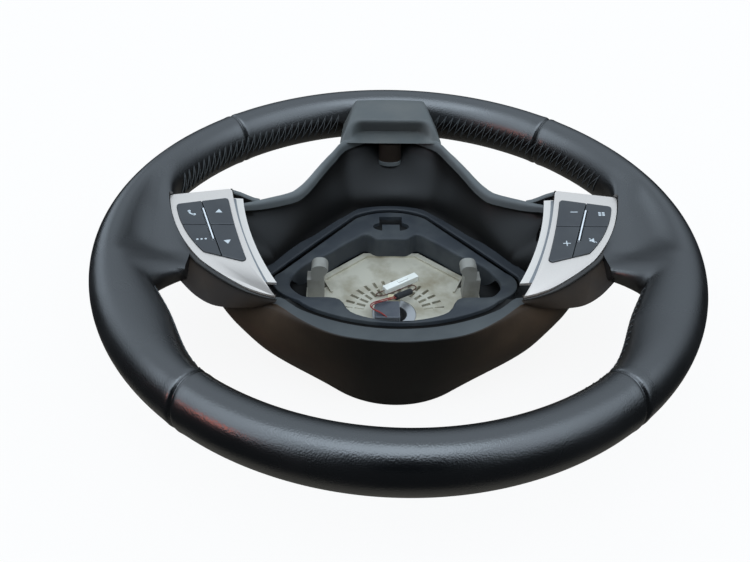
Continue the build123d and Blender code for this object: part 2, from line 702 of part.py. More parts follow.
with BuildPart() as rear_cover_screws:
    with BuildSketch(Plane.XY.offset(COVER_BOTTOM + WELL_DEPTH)):
        with Locations(*screw_spots):
            RegularPolygon(SCREW_HEAD_RADIUS, 6)
    extrude(amount=-SCREW_HEAD_HEIGHT)
    with BuildSketch(Plane.XY.offset(COVER_BOTTOM + WELL_DEPTH)):
        with Locations(*screw_spots):
            RegularPolygon(SCREW_RADIUS, 8)
    extrude(amount=SCREW_LENGTH)
export(rear_cover_screws.part, "rear_cover_screws")

# Inner cover: tray round the hub opening that ramps up to a ledge behind the near lip
tray_profile = [(-100, TRAY_TOP), (-20, TRAY_TOP), (38, LIP_HEIGHT - 1), (80, LIP_HEIGHT - 1)]
tray_under = [(y, z - TRAY_THICKNESS) for y, z in reversed(tray_profile)]
opening_half = [
    (11, -62.4), (19, -68), (27, -62), (34, -56), (47, -43), (57, -36),
    (68.5, -21), (70, 1), (65, 18), (58, 29), (39, 31), (29.5, 47.5), (14, 54),
]
with BuildPart() as inner_cover:
    with BuildSketch(Plane.YZ) as tray_side:
        with BuildLine():
            Polyline(*tray_profile, *tray_under, close=True)
        make_face()
    extrude(amount=RIM_RADIUS, both=True)
    with BuildSketch(Plane.XY):
        with BuildLine():
            ThreePointArc((-26, -88.3), (0, -96.4), (26, -88.3))
            Polyline((26, -88.3), (43, -63.9), (TRAY_HALF_WIDTH, -18))
            ThreePointArc((TRAY_HALF_WIDTH, -18), (76, 18), tray_near[0])
            ThreePointArc(*tray_near)
            ThreePointArc(tray_near[2], (-76, 18), (-TRAY_HALF_WIDTH, -18))
            Polyline((-TRAY_HALF_WIDTH, -18), (-43, -63.9), (-26, -88.3))
        make_face()
    extrude(amount=RIM_HEIGHT, mode=Mode.INTERSECT)
    with BuildSketch(Plane.XY) as opening:
        with BuildLine():
            Polyline(*mirrored(opening_half), close=True)
        make_face()
    extrude(amount=RIM_HEIGHT, mode=Mode.SUBTRACT)
    with BuildSketch(Plane.XY.offset(PLATE_TOP + BORDER_HEIGHT)):
        offset(opening.sketch, amount=TRAY_WALL, kind=Kind.INTERSECTION)
        add(opening.sketch, mode=Mode.SUBTRACT)
        with Locations((0, -30)):
            Rectangle(2 * RIM_RADIUS, RIM_RADIUS, align=(Align.CENTER, Align.MIN), mode=Mode.SUBTRACT)
    extrude(amount=TRAY_TOP - PLATE_TOP - BORDER_HEIGHT)
    with BuildSketch(Plane.XY):
        with Locations((0, -82)):
            Rectangle(21, 6)
        with Locations((0, -75)):
            Rectangle(11, 10)
    extrude(amount=RIM_HEIGHT, mode=Mode.SUBTRACT)
export(inner_cover.part, "inner_cover")

# Six o'clock trim: a cap with a recess and a ledge, between the rear cover's tongue and the rim
trim_top = RIM_HEIGHT + TRIM_RISE
trim_front = GRIP_RADIUS - 37.1
half_width = GRIP_WIDTH / 2 + 1.5 * PANEL_GAP
with BuildPart() as rim_room:
    with BuildSketch(Plane.YZ.shift_origin((0, GRIP_RADIUS, RIM_HEIGHT))):
        with BuildLine():
            Polyline(*oval_points(half_width, GRIP_DEPTH / 2 + 1.5 * PANEL_GAP, half_width), close=True)
        make_face()
    revolve(axis=Axis.Z)
with BuildPart() as bottom_spoke_trim:
    with BuildSketch(Plane.YZ):
        with BuildLine():
            Polyline(
                (-trim_front, trim_top),
                (-trim_front, trim_top - TRIM_PLATE),
                (-trim_front - 6, RIM_HEIGHT),
                (-trim_front + 11.5, RIM_HEIGHT),
                (-trim_front + 11.5, TRIM_SEAT),
                (-GRIP_RADIUS, TRIM_SEAT),
                (-GRIP_RADIUS, trim_top),
                close=True,
            )
        make_face()
    extrude(amount=GRIP_WIDTH * 2, both=True)
    with BuildSketch(Plane.XY.offset(TRIM_SEAT)):
        with BuildLine():
            Polyline(*mirrored([(38.5, -trim_front + 12), (33, -GRIP_RADIUS)]), close=True)
        make_face()
    with BuildSketch(Plane.XY.offset(trim_top)):
        with BuildLine():
            Polyline(*mirrored([(31, -trim_front + 12), (18, -GRIP_RADIUS)]), close=True)
        make_face()
    loft(mode=Mode.INTERSECT)
    add(rim_room.part, mode=Mode.SUBTRACT)
export(bottom_spoke_trim.part, "bottom_spoke_trim")

# Horn lead on the hub: plug, taped sleeve, two wires, an inline connector and its loose latch
with BuildPart() as hub_plug:
    with BuildSketch(Plane.XY.offset(PLATE_TOP)):
        with Locations((5, 4)):
            Rectangle(PLUG_SIZE, PLUG_SIZE)
    extrude(amount=PLUG_HEIGHT)
export(hub_plug.part, "hub_plug")

connector_start = Vector(6, -22, PLATE_TOP)
connector_end = Vector(-17.5, -37.5, PLATE_TOP)
connector_way = (connector_end - connector_start).normalized()
with BuildPart() as lead_connector:
    with BuildSketch(Plane(origin=connector_start, x_dir=connector_way, z_dir=(0, 0, 1))):
        Rectangle(CONNECTOR_LENGTH, CONNECTOR_WIDTH, align=(Align.MIN, Align.CENTER))
    extrude(amount=CONNECTOR_HEIGHT)
    with BuildSketch(Plane(origin=connector_start, x_dir=connector_way, z_dir=(0, 0, 1))):
        with Locations((CONNECTOR_LENGTH * 0.55, 0)):
            Rectangle(CONNECTOR_LENGTH * 0.3, CONNECTOR_WIDTH * 0.5)
    extrude(amount=CONNECTOR_HEIGHT + 1.0)
export(lead_connector.part, "lead_connector")

with BuildPart() as connector_latch:
    with BuildSketch(Plane.XY.offset(PLATE_TOP)):
        with Locations((-0.5, -15)):
            Rectangle(LATCH_LENGTH, LATCH_WIDTH)
    extrude(amount=LATCH_HEIGHT)
export(connector_latch.part, "connector_latch")

sleeve_start = Vector(-1, -7, PLATE_TOP + 9)
sleeve_end = Vector(-12.2, -18, PLATE_TOP + 5)
sleeve_way = (sleeve_end - sleeve_start).normalized()
with BuildPart() as lead_sleeve:
    with BuildSketch(Plane(origin=sleeve_start, z_dir=sleeve_way)):
        Circle(SLEEVE_RADIUS)
    extrude(amount=(sleeve_end - sleeve_start).length)
export(lead_sleeve.part, "lead_sleeve")

wire_level = PLATE_TOP + LEAD_RADIUS + 0.7
red_start = sleeve_start - sleeve_way * SEAT_GAP
red_route = [
    (20, 14, PLATE_TOP + 0.6),
    (19.6, 10.5, PLATE_TOP + 7),
    (14.5, 4, PLATE_TOP + 10.3),
    (6.5, -1.8, PLATE_TOP + 10.8),
    tuple(red_start),
]
export(lead(red_route), "red_lead")

brown_start = sleeve_end + sleeve_way * SEAT_GAP
connector_mouth = connector_start - connector_way * SEAT_GAP + Vector(0, 0, CONNECTOR_HEIGHT / 2)
brown_route = [
    tuple(brown_start),
    (-16, -23, wire_level + 1.2),
    (-16.8, -27.4, wire_level),
    (-13.6, -29.6, wire_level),
    (-4.8, -23.8, wire_level),
    (6.5, -17.2, wire_level),
    (11.5, -16.8, wire_level),
    (12.6, -19.4, wire_level),
    tuple(connector_mouth),
]
export(lead(brown_route), "brown_lead")
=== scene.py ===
"""Looks of a car steering wheel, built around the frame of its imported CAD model."""

from __future__ import annotations

import json
import logging
import math
from dataclasses import dataclass, field
from enum import Enum
from functools import lru_cache
from typing import Iterable, Sequence

import bmesh
import bpy
from mathutils import Matrix, Vector

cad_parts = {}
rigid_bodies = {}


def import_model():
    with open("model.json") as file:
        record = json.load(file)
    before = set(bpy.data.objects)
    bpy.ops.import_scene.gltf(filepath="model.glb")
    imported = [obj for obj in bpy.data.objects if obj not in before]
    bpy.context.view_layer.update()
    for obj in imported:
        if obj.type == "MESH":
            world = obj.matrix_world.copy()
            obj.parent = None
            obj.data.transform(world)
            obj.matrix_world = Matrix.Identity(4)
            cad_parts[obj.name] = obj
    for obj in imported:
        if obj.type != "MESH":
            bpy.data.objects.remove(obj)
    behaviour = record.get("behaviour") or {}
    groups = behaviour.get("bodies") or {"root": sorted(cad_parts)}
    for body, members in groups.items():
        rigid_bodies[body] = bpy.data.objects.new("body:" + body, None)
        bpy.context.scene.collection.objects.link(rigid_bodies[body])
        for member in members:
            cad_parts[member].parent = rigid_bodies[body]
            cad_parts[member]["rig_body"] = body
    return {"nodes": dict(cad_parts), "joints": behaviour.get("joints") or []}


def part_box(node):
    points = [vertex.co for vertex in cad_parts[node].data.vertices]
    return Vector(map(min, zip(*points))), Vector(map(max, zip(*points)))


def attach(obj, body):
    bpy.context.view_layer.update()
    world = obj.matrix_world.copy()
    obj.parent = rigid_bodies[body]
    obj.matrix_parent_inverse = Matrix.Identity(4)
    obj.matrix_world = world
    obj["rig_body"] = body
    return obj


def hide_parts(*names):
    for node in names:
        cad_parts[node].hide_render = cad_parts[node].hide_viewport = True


LOG = logging.getLogger("steering_wheel")
MM = 0.001
IMAGE_WIDTH = 750
SENSOR_WIDTH = 36.0
WHEEL = "wheel"

# How a CAD copy is cleaned and eased: merge distance, angles in degrees, faces across a round top
MERGE_MM = 0.02
FLAT_DEG = 0.7
HARD_DEG = 28
SHARP_DEG = 34
TOP_SEGMENTS = 6

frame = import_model()


class Side(Enum):
    """Side of the wheel, as the sign of X: the driver's right is +X."""

    RIGHT = 1
    LEFT = -1

    @property
    def prefix(self) -> str:
        """First word of the names on this side."""
        return self.name.lower()


class Sign(Enum):
    """Sign printed on a key."""

    HANDSET = "handset"
    ARROW_DOWN = "arrow_down"
    ARROW_UP = "arrow_up"
    DOTS = "dots"
    GRID = "grid"
    SPEAKER = "speaker"
    MINUS = "minus"
    PLUS = "plus"


# Small tools


def linear(hex_colour: str) -> tuple[float, float, float, float]:
    """Linear colour of an sRGB hex value.

    Args:
        hex_colour: Colour as "#rrggbb".

    Returns:
        Red, green, blue and an alpha of 1.
    """
    channels = [int(hex_colour[i : i + 2], 16) / 255 for i in (1, 3, 5)]
    return (*[c / 12.92 if c <= 0.04045 else ((c + 0.055) / 1.055) ** 2.4 for c in channels], 1.0)


def per_mm(size_mm: float) -> float:
    """Texture scale, in repeats per metre, of a pattern whose features have this size."""
    return 1.0 / (size_mm * MM)


def add_node(
    tree: bpy.types.NodeTree,
    kind: str,
    values: dict | None = None,
    links: dict | None = None,
    **settings: object,
) -> bpy.types.Node:
    """Add a node with its settings, fixed values and links.

    Args:
        tree: Node tree that gets the node.
        kind: Node type.
        values: Fixed values by input name or number.
        links: Output sockets of other nodes by input name or number.
        settings: Attributes of the node.

    Returns:
        The new node.
    """
    node = tree.nodes.new(kind)
    for key, value in settings.items():
        setattr(node, key, value)
    for socket, value in (values or {}).items():
        node.inputs[socket].default_value = value
    for socket, source in (links or {}).items():
        tree.links.new(source, node.inputs[socket])
    return node


def smooth(value: float) -> float:
    """Step from 0 to 1 with flat ends."""
    t = min(max(value, 0.0), 1.0)
    return t * t * (3 - 2 * t)


def spline_through(values: Sequence[float], place: float) -> float:
    """Smooth value between evenly spaced ones, flat at both ends.

    Args:
        values: Values at places 0, 1, 2 and so on.
        place: Where to read.

    Returns:
        The interpolated value.
    """
    ends = [values[1], *values, values[-2]]
    i = min(int(place), len(values) - 2)
    t = place - i
    v0, v1, v2, v3 = ends[i : i + 4]
    bend = t * (1 - t) * ((1 - t) * (v2 - v0) / 2 - t * (v3 - v1) / 2)
    return v1 + (v2 - v1) * smooth(t) + bend


def closed_spline(points: Sequence[Vector], steps: int) -> list[Vector]:
    """Closed smooth curve through points.

    Args:
        points: Corners of the loop.
        steps: Points made for each corner.

    Returns:
        Points of the smooth loop.
    """
    count = len(points)
    ways = [points[(i + 1) % count] - points[i] for i in range(count)]
    lengths = [max(way.length, 1e-6) for way in ways]
    slopes = []
    for i in range(count):
        before, after = lengths[i - 1], lengths[i]
        slopes.append((ways[i - 1] * (after / before) + ways[i] * (before / after)) / (before + after))
    found = []
    for i in range(count):
        j = (i + 1) % count
        for k in range(steps):
            t = k / steps
            bend = t * (1 - t) * lengths[i] * ((1 - t) * slopes[i] - t * slopes[j])
            found.append(points[i].lerp(points[j], smooth(t)) + bend)
    return found


def arc(
    x: float, y: float, radius: float, start: float, end: float, steps: int
) -> list[tuple[float, float]]:
    """Points of an arc about a centre, from one angle to another in degrees."""
    found = []
    for k in range(steps + 1):
        a = math.radians(start + k * (end - start) / steps)
        found.append((x + radius * math.cos(a), y + radius * math.sin(a)))
    return found


def box_outline(x: float, y: float, width: float, height: float) -> list[tuple[float, float]]:
    """Rectangle about a centre."""
    return [(x + sx * width / 2, y + sy * height / 2) for sx, sy in ((-1, -1), (1, -1), (1, 1), (-1, 1))]


def bar_outline(x0: float, y0: float, x1: float, y1: float, width: float) -> list[tuple[float, float]]:
    """Straight stroke from one point to another."""
    way = Vector((x1 - x0, y1 - y0)).normalized() * width / 2
    start = [(x0 - way.y, y0 + way.x), (x0 + way.y, y0 - way.x)]
    return start + [(x1 + way.y, y1 - way.x), (x1 - way.y, y1 + way.x)]


def link_mesh(name: str, mesh: bpy.types.Mesh) -> bpy.types.Object:
    """Object for a mesh, linked to the scene."""
    piece = bpy.data.objects.new(name, mesh)
    bpy.context.scene.collection.objects.link(piece)
    return piece


def mesh_piece(name: str, points: Iterable, faces: Iterable, sharp_deg: float = 40) -> bpy.types.Object:
    """Closed mesh piece with smooth shading and outward faces.

    Args:
        name: Name of the piece.
        points: Vertices, in metres.
        faces: Vertex numbers of each face.
        sharp_deg: Edges that turn more than this stay sharp.

    Returns:
        The new object.
    """
    mesh = bpy.data.meshes.new(name)
    mesh.from_pydata([tuple(p) for p in points], [], [tuple(f) for f in faces])
    shape = bmesh.new()
    shape.from_mesh(mesh)
    bmesh.ops.recalc_face_normals(shape, faces=shape.faces)
    shape.to_mesh(mesh)
    shape.free()
    mesh.shade_smooth()
    mesh.set_sharp_from_angle(angle=math.radians(sharp_deg))
    return link_mesh(name, mesh)


def ring_faces(rings: int, size: int, closed: bool) -> list[tuple[int, ...]]:
    """Quads between rings of points that follow each other.

    Args:
        rings: Number of rings.
        size: Points in each ring.
        closed: True where the last ring joins the first.

    Returns:
        Vertex numbers of each quad.
    """
    faces = []
    for i in range(rings if closed else rings - 1):
        j = (i + 1) % rings
        for k in range(size):
            m = (k + 1) % size
            faces.append((i * size + k, j * size + k, j * size + m, i * size + m))
    return faces


def tube_faces(rings: int, size: int) -> list[tuple[int, ...]]:
    """Quads between rings of points that follow each other, and a face that closes each end."""
    last = (rings - 1) * size
    return ring_faces(rings, size, False) + [tuple(range(size)), tuple(range(last, last + size))]


def prism(name: str, outline: Sequence[tuple[float, float]], low: float, high: float) -> bpy.types.Object:
    """Upright prism over a plan outline, in millimetres."""
    points = [Vector((x, y, z)) * MM for z in (low, high) for x, y in outline]
    return mesh_piece(name, points, tube_faces(2, len(outline)))


def evaluated_mesh(piece: bpy.types.Object) -> bpy.types.Mesh:
    """Plain mesh of a piece with its modifiers applied."""
    graph = bpy.context.evaluated_depsgraph_get()
    return bpy.data.meshes.new_from_object(piece.evaluated_get(graph), depsgraph=graph)


def bake_modifiers(piece: bpy.types.Object) -> None:
    """Turn a piece's modifiers into its plain mesh."""
    mesh = evaluated_mesh(piece)
    piece.modifiers.clear()
    piece.data = mesh


def cut_away(piece: bpy.types.Object, cutter: bpy.types.Object) -> None:
    """Cut one closed mesh out of another and delete the cutter."""
    modifier = piece.modifiers.new("cut", "BOOLEAN")
    modifier.operation = "DIFFERENCE"
    modifier.solver = "EXACT"
    modifier.object = cutter
    bake_modifiers(piece)
    bpy.data.objects.remove(cutter)


def cut_flat(piece: bpy.types.Object, point: Vector, normal: Vector) -> None:
    """Cut off what lies beyond a plane, and close the cut.

    Args:
        piece: Mesh object to cut.
        point: Point on the plane, in metres.
        normal: Direction of what goes.
    """
    mesh = bmesh.new()
    mesh.from_mesh(piece.data)
    parts = [*mesh.verts, *mesh.edges, *mesh.faces]
    bmesh.ops.bisect_plane(mesh, geom=parts, plane_co=point, plane_no=normal, clear_outer=True)
    bmesh.ops.holes_fill(mesh, edges=[edge for edge in mesh.edges if edge.is_boundary])
    mesh.to_mesh(piece.data)
    mesh.free()


def eased_copy(
    node: str, name: str, width_mm: float, segments: int = 2, top: tuple[float, float, float] | None = None
) -> bpy.types.Object:
    """Copy of a CAD node with its hard edges rounded, and the rounding marked for edge wear and, on silver
    paint and the light bar, painted light and shade.

    Args:
        node: CAD node that the piece stands for.
        name: Name of the new piece.
        width_mm: Width of the rounding.
        segments: Faces across the rounding.
        top: Height above which edges along Y are rounder, how far out in X, and their width, all in
            millimetres.

    Returns:
        The new object, riding on the node's body.
    """
    source = frame["nodes"][node]
    shape = bmesh.new()
    shape.from_mesh(source.data)
    bmesh.ops.remove_doubles(shape, verts=shape.verts, dist=MERGE_MM * MM)
    bmesh.ops.dissolve_limit(
        shape, angle_limit=math.radians(FLAT_DEG), verts=shape.verts, edges=shape.edges
    )
    wear_and_light = shape.faces.layers.float.new("edge_wear")
    passes = [(*top, TOP_SEGMENTS)] if top else []
    for height, reach, width, steps in passes + [(-math.inf, math.inf, width_mm, segments)]:
        hard = [
            e
            for e in shape.edges
            if len(e.link_faces) == 2
            and e.calc_face_angle() > math.radians(HARD_DEG)
            and min(v.co.z for v in e.verts) > height * MM
            and max(abs(v.co.x) for v in e.verts) < reach * MM
            and (reach == math.inf or abs(e.verts[0].co.y - e.verts[1].co.y) > 0.9 * e.calc_length())
        ]
        made = bmesh.ops.bevel(
            shape,
            geom=hard,
            offset=width * MM,
            offset_type="OFFSET",
            segments=steps,
            profile=0.5,
            affect="EDGES",
            clamp_overlap=True,
        )
        for face in made["faces"]:
            face[wear_and_light] = 1.0
    mesh = bpy.data.meshes.new(name)
    shape.to_mesh(mesh)
    shape.free()
    for spare in ("custom_normal", "UVMap"):
        if spare in mesh.attributes:
            mesh.attributes.remove(mesh.attributes[spare])
    mesh.shade_smooth()
    mesh.set_sharp_from_angle(angle=math.radians(SHARP_DEG))
    piece = link_mesh(name, mesh)
    flat = piece.modifiers.new("flat_faces", "WEIGHTED_NORMAL")
    flat.keep_sharp = True
    bake_modifiers(piece)
    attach(piece, source["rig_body"])
    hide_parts(node)
    return piece


def dress(piece: bpy.types.Object, finish: "Finish") -> None:
    """Give a piece its one material and log its finish.

    Args:
        piece: Piece or CAD node to dress.
        finish: Finish of the whole piece.
    """
    piece.data.materials.clear()
    piece.data.materials.append(finish.material())
    LOG.info("%s: %s", piece.name, finish.name)


# Finishes


@dataclass(frozen=True)
class Finish:
    """Surface finish whose material is made once."""

    name: str

    def material(self) -> bpy.types.Material:
        """Material of this finish, made at its first use."""
        found = bpy.data.materials.get(self.name)
        if found is None:
            found = bpy.data.materials.new(self.name)
            found.use_nodes = True
            found.node_tree.nodes.clear()
            shader = self.shader(found.node_tree)
            add_node(found.node_tree, "ShaderNodeOutputMaterial", links={"Surface": shader.outputs[0]})
        return found

    def shader(self, tree: bpy.types.NodeTree) -> bpy.types.Node:
        """Shader of the finish; each kind of finish has its own."""
        raise NotImplementedError


@dataclass(frozen=True)
class GrainLeather(Finish):
    """Pigmented cowhide with an embossed pebble grain: satin, and smoother where hands polish it."""

    colour: str = "#070708"
    polished: str = "#0a0b0c"
    pebble_mm: float = 0.8
    crease_mm: float = 9.0
    patch_mm: float = 55.0
    roughness: tuple[float, float] = (0.21, 0.33)
    grain_depth_mm: float = 0.16
    grain_strength: float = 0.5
    crease_depth_mm: float = 0.6
    crease_strength: float = 0.12
    patch_range: tuple[float, float] = (0.38, 0.62)
    ior: float = 1.65

    def shader(self, tree: bpy.types.NodeTree) -> bpy.types.Node:
        """Leather with polished patches, a pebble grain and soft creases."""
        place = add_node(tree, "ShaderNodeTexCoord").outputs["Object"]
        patches = add_node(
            tree, "ShaderNodeTexNoise", {"Scale": per_mm(self.patch_mm), "Detail": 4.0}, {"Vector": place}
        )
        pebbles = add_node(
            tree, "ShaderNodeTexVoronoi", {"Scale": per_mm(self.pebble_mm)}, {"Vector": place},
            feature="SMOOTH_F1",
        )
        creases = add_node(
            tree, "ShaderNodeTexNoise", {"Scale": per_mm(self.crease_mm), "Detail": 3.0}, {"Vector": place}
        )
        share = add_node(
            tree, "ShaderNodeMapRange", {"From Min": self.patch_range[0], "From Max": self.patch_range[1]},
            {"Value": patches.outputs["Fac"]},
        )
        tint = add_node(
            tree, "ShaderNodeMix", {6: linear(self.colour), 7: linear(self.polished)},
            {0: share.outputs["Result"]}, data_type="RGBA",
        )
        gloss = add_node(
            tree, "ShaderNodeMapRange", {"To Min": self.roughness[1], "To Max": self.roughness[0]},
            {"Value": share.outputs["Result"]},
        )
        soft = add_node(
            tree, "ShaderNodeBump",
            {"Strength": self.crease_strength, "Distance": self.crease_depth_mm * MM},
            {"Height": creases.outputs["Fac"]},
        )
        grain = add_node(
            tree, "ShaderNodeBump", {"Strength": self.grain_strength, "Distance": self.grain_depth_mm * MM},
            {"Height": pebbles.outputs["Distance"], "Normal": soft.outputs["Normal"]}, invert=True,
        )
        return add_node(
            tree, "ShaderNodeBsdfPrincipled", {"IOR": self.ior, "Specular IOR Level": 1.0},
            {
                "Base Color": tint.outputs[2],
                "Roughness": gloss.outputs["Result"],
                "Normal": grain.outputs["Normal"],
            },
        )


@dataclass(frozen=True)
class MouldedPlastic(Finish):
    """Injection-moulded ABS or polypropylene, eroded: matte, dusty in patches and paler at its edges."""

    colour: str = "#202224"
    dusty: str = "#2c2d2d"
    worn: str = "#3a3b3b"
    roughness: float = 0.6
    grain_mm: float = 0.9
    grain_depth_mm: float = 0.06
    patch_mm: float = 26.0
    sheen: float = 0.5
    grain_strength: float = 0.4
    dust_range: tuple[float, float] = (0.42, 0.7)
    rough_spread: tuple[float, float] = (0.06, 0.08)
    ior: float = 1.49

    def shader(self, tree: bpy.types.NodeTree) -> bpy.types.Node:
        """Plastic with dust in patches, wear along its eased edges and a fine texture."""
        place = add_node(tree, "ShaderNodeTexCoord").outputs["Object"]
        patches = add_node(
            tree, "ShaderNodeTexNoise", {"Scale": per_mm(self.patch_mm), "Detail": 5.0}, {"Vector": place}
        )
        grain = add_node(
            tree, "ShaderNodeTexNoise", {"Scale": per_mm(self.grain_mm), "Detail": 2.0}, {"Vector": place}
        )
        share = add_node(
            tree, "ShaderNodeMapRange", {"From Min": self.dust_range[0], "From Max": self.dust_range[1]},
            {"Value": patches.outputs["Fac"]},
        )
        tint = add_node(
            tree, "ShaderNodeMix", {6: linear(self.colour), 7: linear(self.dusty)},
            {0: share.outputs["Result"]}, data_type="RGBA",
        )
        edge = add_node(tree, "ShaderNodeAttribute", attribute_name="edge_wear")
        rubbed = add_node(
            tree, "ShaderNodeMath", links={0: edge.outputs["Fac"], 1: patches.outputs["Fac"]},
            operation="MULTIPLY",
        )
        colour = add_node(
            tree, "ShaderNodeMix", {7: linear(self.worn)}, {0: rubbed.outputs[0], 6: tint.outputs[2]},
            data_type="RGBA",
        )
        less, more = self.rough_spread
        rough = add_node(
            tree, "ShaderNodeMapRange", {"To Min": self.roughness - less, "To Max": self.roughness + more},
            {"Value": patches.outputs["Fac"]},
        )
        bump = add_node(
            tree, "ShaderNodeBump", {"Strength": self.grain_strength, "Distance": self.grain_depth_mm * MM},
            {"Height": grain.outputs["Fac"]},
        )
        return add_node(
            tree, "ShaderNodeBsdfPrincipled", {"IOR": self.ior, "Specular IOR Level": self.sheen},
            {
                "Base Color": colour.outputs[2],
                "Roughness": rough.outputs["Result"],
                "Normal": bump.outputs["Normal"],
            },
        )


@dataclass(frozen=True)
class SilverPaint(Finish):
    """Silver metallic paint on ABS under a satin lacquer: even, bright, with fine flakes."""

    colour: str = "#c3c6c7"
    flake: str = "#aeb2b4"
    flake_mm: float = 0.5
    metallic: float = 0.75
    roughness: float = 0.34
    # Colour and metallic of the eased edges: a painted highlight
    edge: str = "#f6f4f1"
    edge_metallic: float = 0.1
    flake_depth_mm: float = 0.02
    flake_strength: float = 0.12

    def shader(self, tree: bpy.types.NodeTree) -> bpy.types.Node:
        """Metallic paint with flakes too fine to count, drawn at half a millimetre so that they show, and
        eased edges painted near white and less metallic: a painted highlight.
        """
        place = add_node(tree, "ShaderNodeTexCoord").outputs["Object"]
        flakes = add_node(
            tree, "ShaderNodeTexNoise", {"Scale": per_mm(self.flake_mm), "Detail": 2.0}, {"Vector": place}
        )
        tint = add_node(
            tree, "ShaderNodeMix", {6: linear(self.colour), 7: linear(self.flake)},
            {0: flakes.outputs["Fac"]}, data_type="RGBA",
        )
        # The eased edges get the near-white edge colour: painted highlight
        wear_and_light = add_node(tree, "ShaderNodeAttribute", attribute_name="edge_wear")
        colour = add_node(
            tree, "ShaderNodeMix", {7: linear(self.edge)}, {0: wear_and_light.outputs["Fac"], 6: tint.outputs[2]},
            data_type="RGBA",
        )
        bump = add_node(
            tree, "ShaderNodeBump", {"Strength": self.flake_strength, "Distance": self.flake_depth_mm * MM},
            {"Height": flakes.outputs["Fac"]},
        )
        metal = add_node(
            tree, "ShaderNodeMapRange", {"To Min": self.metallic, "To Max": self.edge_metallic},
            {"Value": wear_and_light.outputs["Fac"]},
        )
        return add_node(
            tree, "ShaderNodeBsdfPrincipled", {"Roughness": self.roughness},
            {
                "Base Color": colour.outputs[2],
                "Metallic": metal.outputs["Result"],
                "Normal": bump.outputs["Normal"],
            },
        )


@dataclass(frozen=True)
class CastMetal(Finish):
    """Die-cast metal, left as cast: dull, slightly oxidised, with stains in patches."""

    colour: str = "#a9a79d"
    stain: str = "#7d776a"
    metallic: float = 0.25
    roughness: float = 0.55
    skin_mm: float = 2.2
    stain_mm: float = 18.0
    skin_depth_mm: float = 0.15
    skin_strength: float = 0.35
    stain_range: tuple[float, float] = (0.45, 0.75)

    def shader(self, tree: bpy.types.NodeTree) -> bpy.types.Node:
        """Cast skin with a pitted surface and dull stains."""
        place = add_node(tree, "ShaderNodeTexCoord").outputs["Object"]
        stains = add_node(
            tree, "ShaderNodeTexNoise", {"Scale": per_mm(self.stain_mm), "Detail": 6.0}, {"Vector": place}
        )
        skin = add_node(
            tree, "ShaderNodeTexNoise", {"Scale": per_mm(self.skin_mm), "Detail": 4.0}, {"Vector": place}
        )
        share = add_node(
            tree, "ShaderNodeMapRange", {"From Min": self.stain_range[0], "From Max": self.stain_range[1]},
            {"Value": stains.outputs["Fac"]},
        )
        tint = add_node(
            tree, "ShaderNodeMix", {6: linear(self.colour), 7: linear(self.stain)},
            {0: share.outputs["Result"]}, data_type="RGBA",
        )
        bump = add_node(
            tree, "ShaderNodeBump", {"Strength": self.skin_strength, "Distance": self.skin_depth_mm * MM},
            {"Height": skin.outputs["Fac"]},
        )
        return add_node(
            tree, "ShaderNodeBsdfPrincipled", {"Metallic": self.metallic, "Roughness": self.roughness},
            {"Base Color": tint.outputs[2], "Normal": bump.outputs["Normal"]},
        )


@dataclass(frozen=True)
class Jacket(Finish):
    """Extruded PVC, thread, tape or print: one colour with slight unevenness along it."""

    colour: str = "#808080"
    shade: str = "#606060"
    roughness: float = 0.5
    uneven_mm: float = 3.0

    def shader(self, tree: bpy.types.NodeTree) -> bpy.types.Node:
        """Plain colour that varies a little."""
        place = add_node(tree, "ShaderNodeTexCoord").outputs["Object"]
        uneven = add_node(
            tree, "ShaderNodeTexNoise", {"Scale": per_mm(self.uneven_mm), "Detail": 2.0}, {"Vector": place}
        )
        tint = add_node(
            tree, "ShaderNodeMix", {6: linear(self.colour), 7: linear(self.shade)},
            {0: uneven.outputs["Fac"]}, data_type="RGBA",
        )
        return add_node(
            tree, "ShaderNodeBsdfPrincipled", {"Roughness": self.roughness}, {"Base Color": tint.outputs[2]}
        )


LEATHER = GrainLeather("grain_leather")
LACE = Jacket("lacing_thread", "#5d5f5f", "#3d3f40", 0.7, 2.0)
COVER = MouldedPlastic("cover_polypropylene", "#0d0c0b", "#12100e", "#64503f", 0.42, 1.0, 0.05, 40.0, 0.3)
# Pale grey for the bowl's far upper edge, the wing rims and the catch foot: painted light from above
COVER_EDGE_LIT = MouldedPlastic(
    "cover_edge_polypropylene", "#5a5d5d", "#696b6a", "#777a79", 0.6, 0.9, 0.08, 30.0
)
# Pale grey for the near lip's top: painted light from above
LIP_LIT = MouldedPlastic("lip_polypropylene", "#414445", "#4d5050", "#5c5f5f", 0.6, 0.9, 0.08, 30.0)
TRAY = MouldedPlastic("tray_polypropylene", "#2c3035", "#424546", "#5a5f64", 0.62, 0.9, 0.06, 22.0)
TRIM = MouldedPlastic("trim_abs", "#555857", "#5f605d", "#787b79", 0.48, 0.7, 0.05, 24.0)
SKIRT = MouldedPlastic("skirt_abs", "#271f19", "#34291f", "#4b4844", 0.58, 0.8, 0.06, 28.0, 0.22)
SKIRT_ROLL = MouldedPlastic("skirt_rolled_edge_abs", "#302e2c", "#3b3835", "#55514c", 0.5, 0.7, 0.04, 20.0)
KEY = MouldedPlastic("key_abs", "#404143", "#474849", "#626466", 0.52, 0.5, 0.03, 18.0, 0.4)
LEDGE = MouldedPlastic("ledge_polypropylene", "#23272c", "#2c2f33", "#40444a", 0.6, 0.9, 0.06, 22.0)
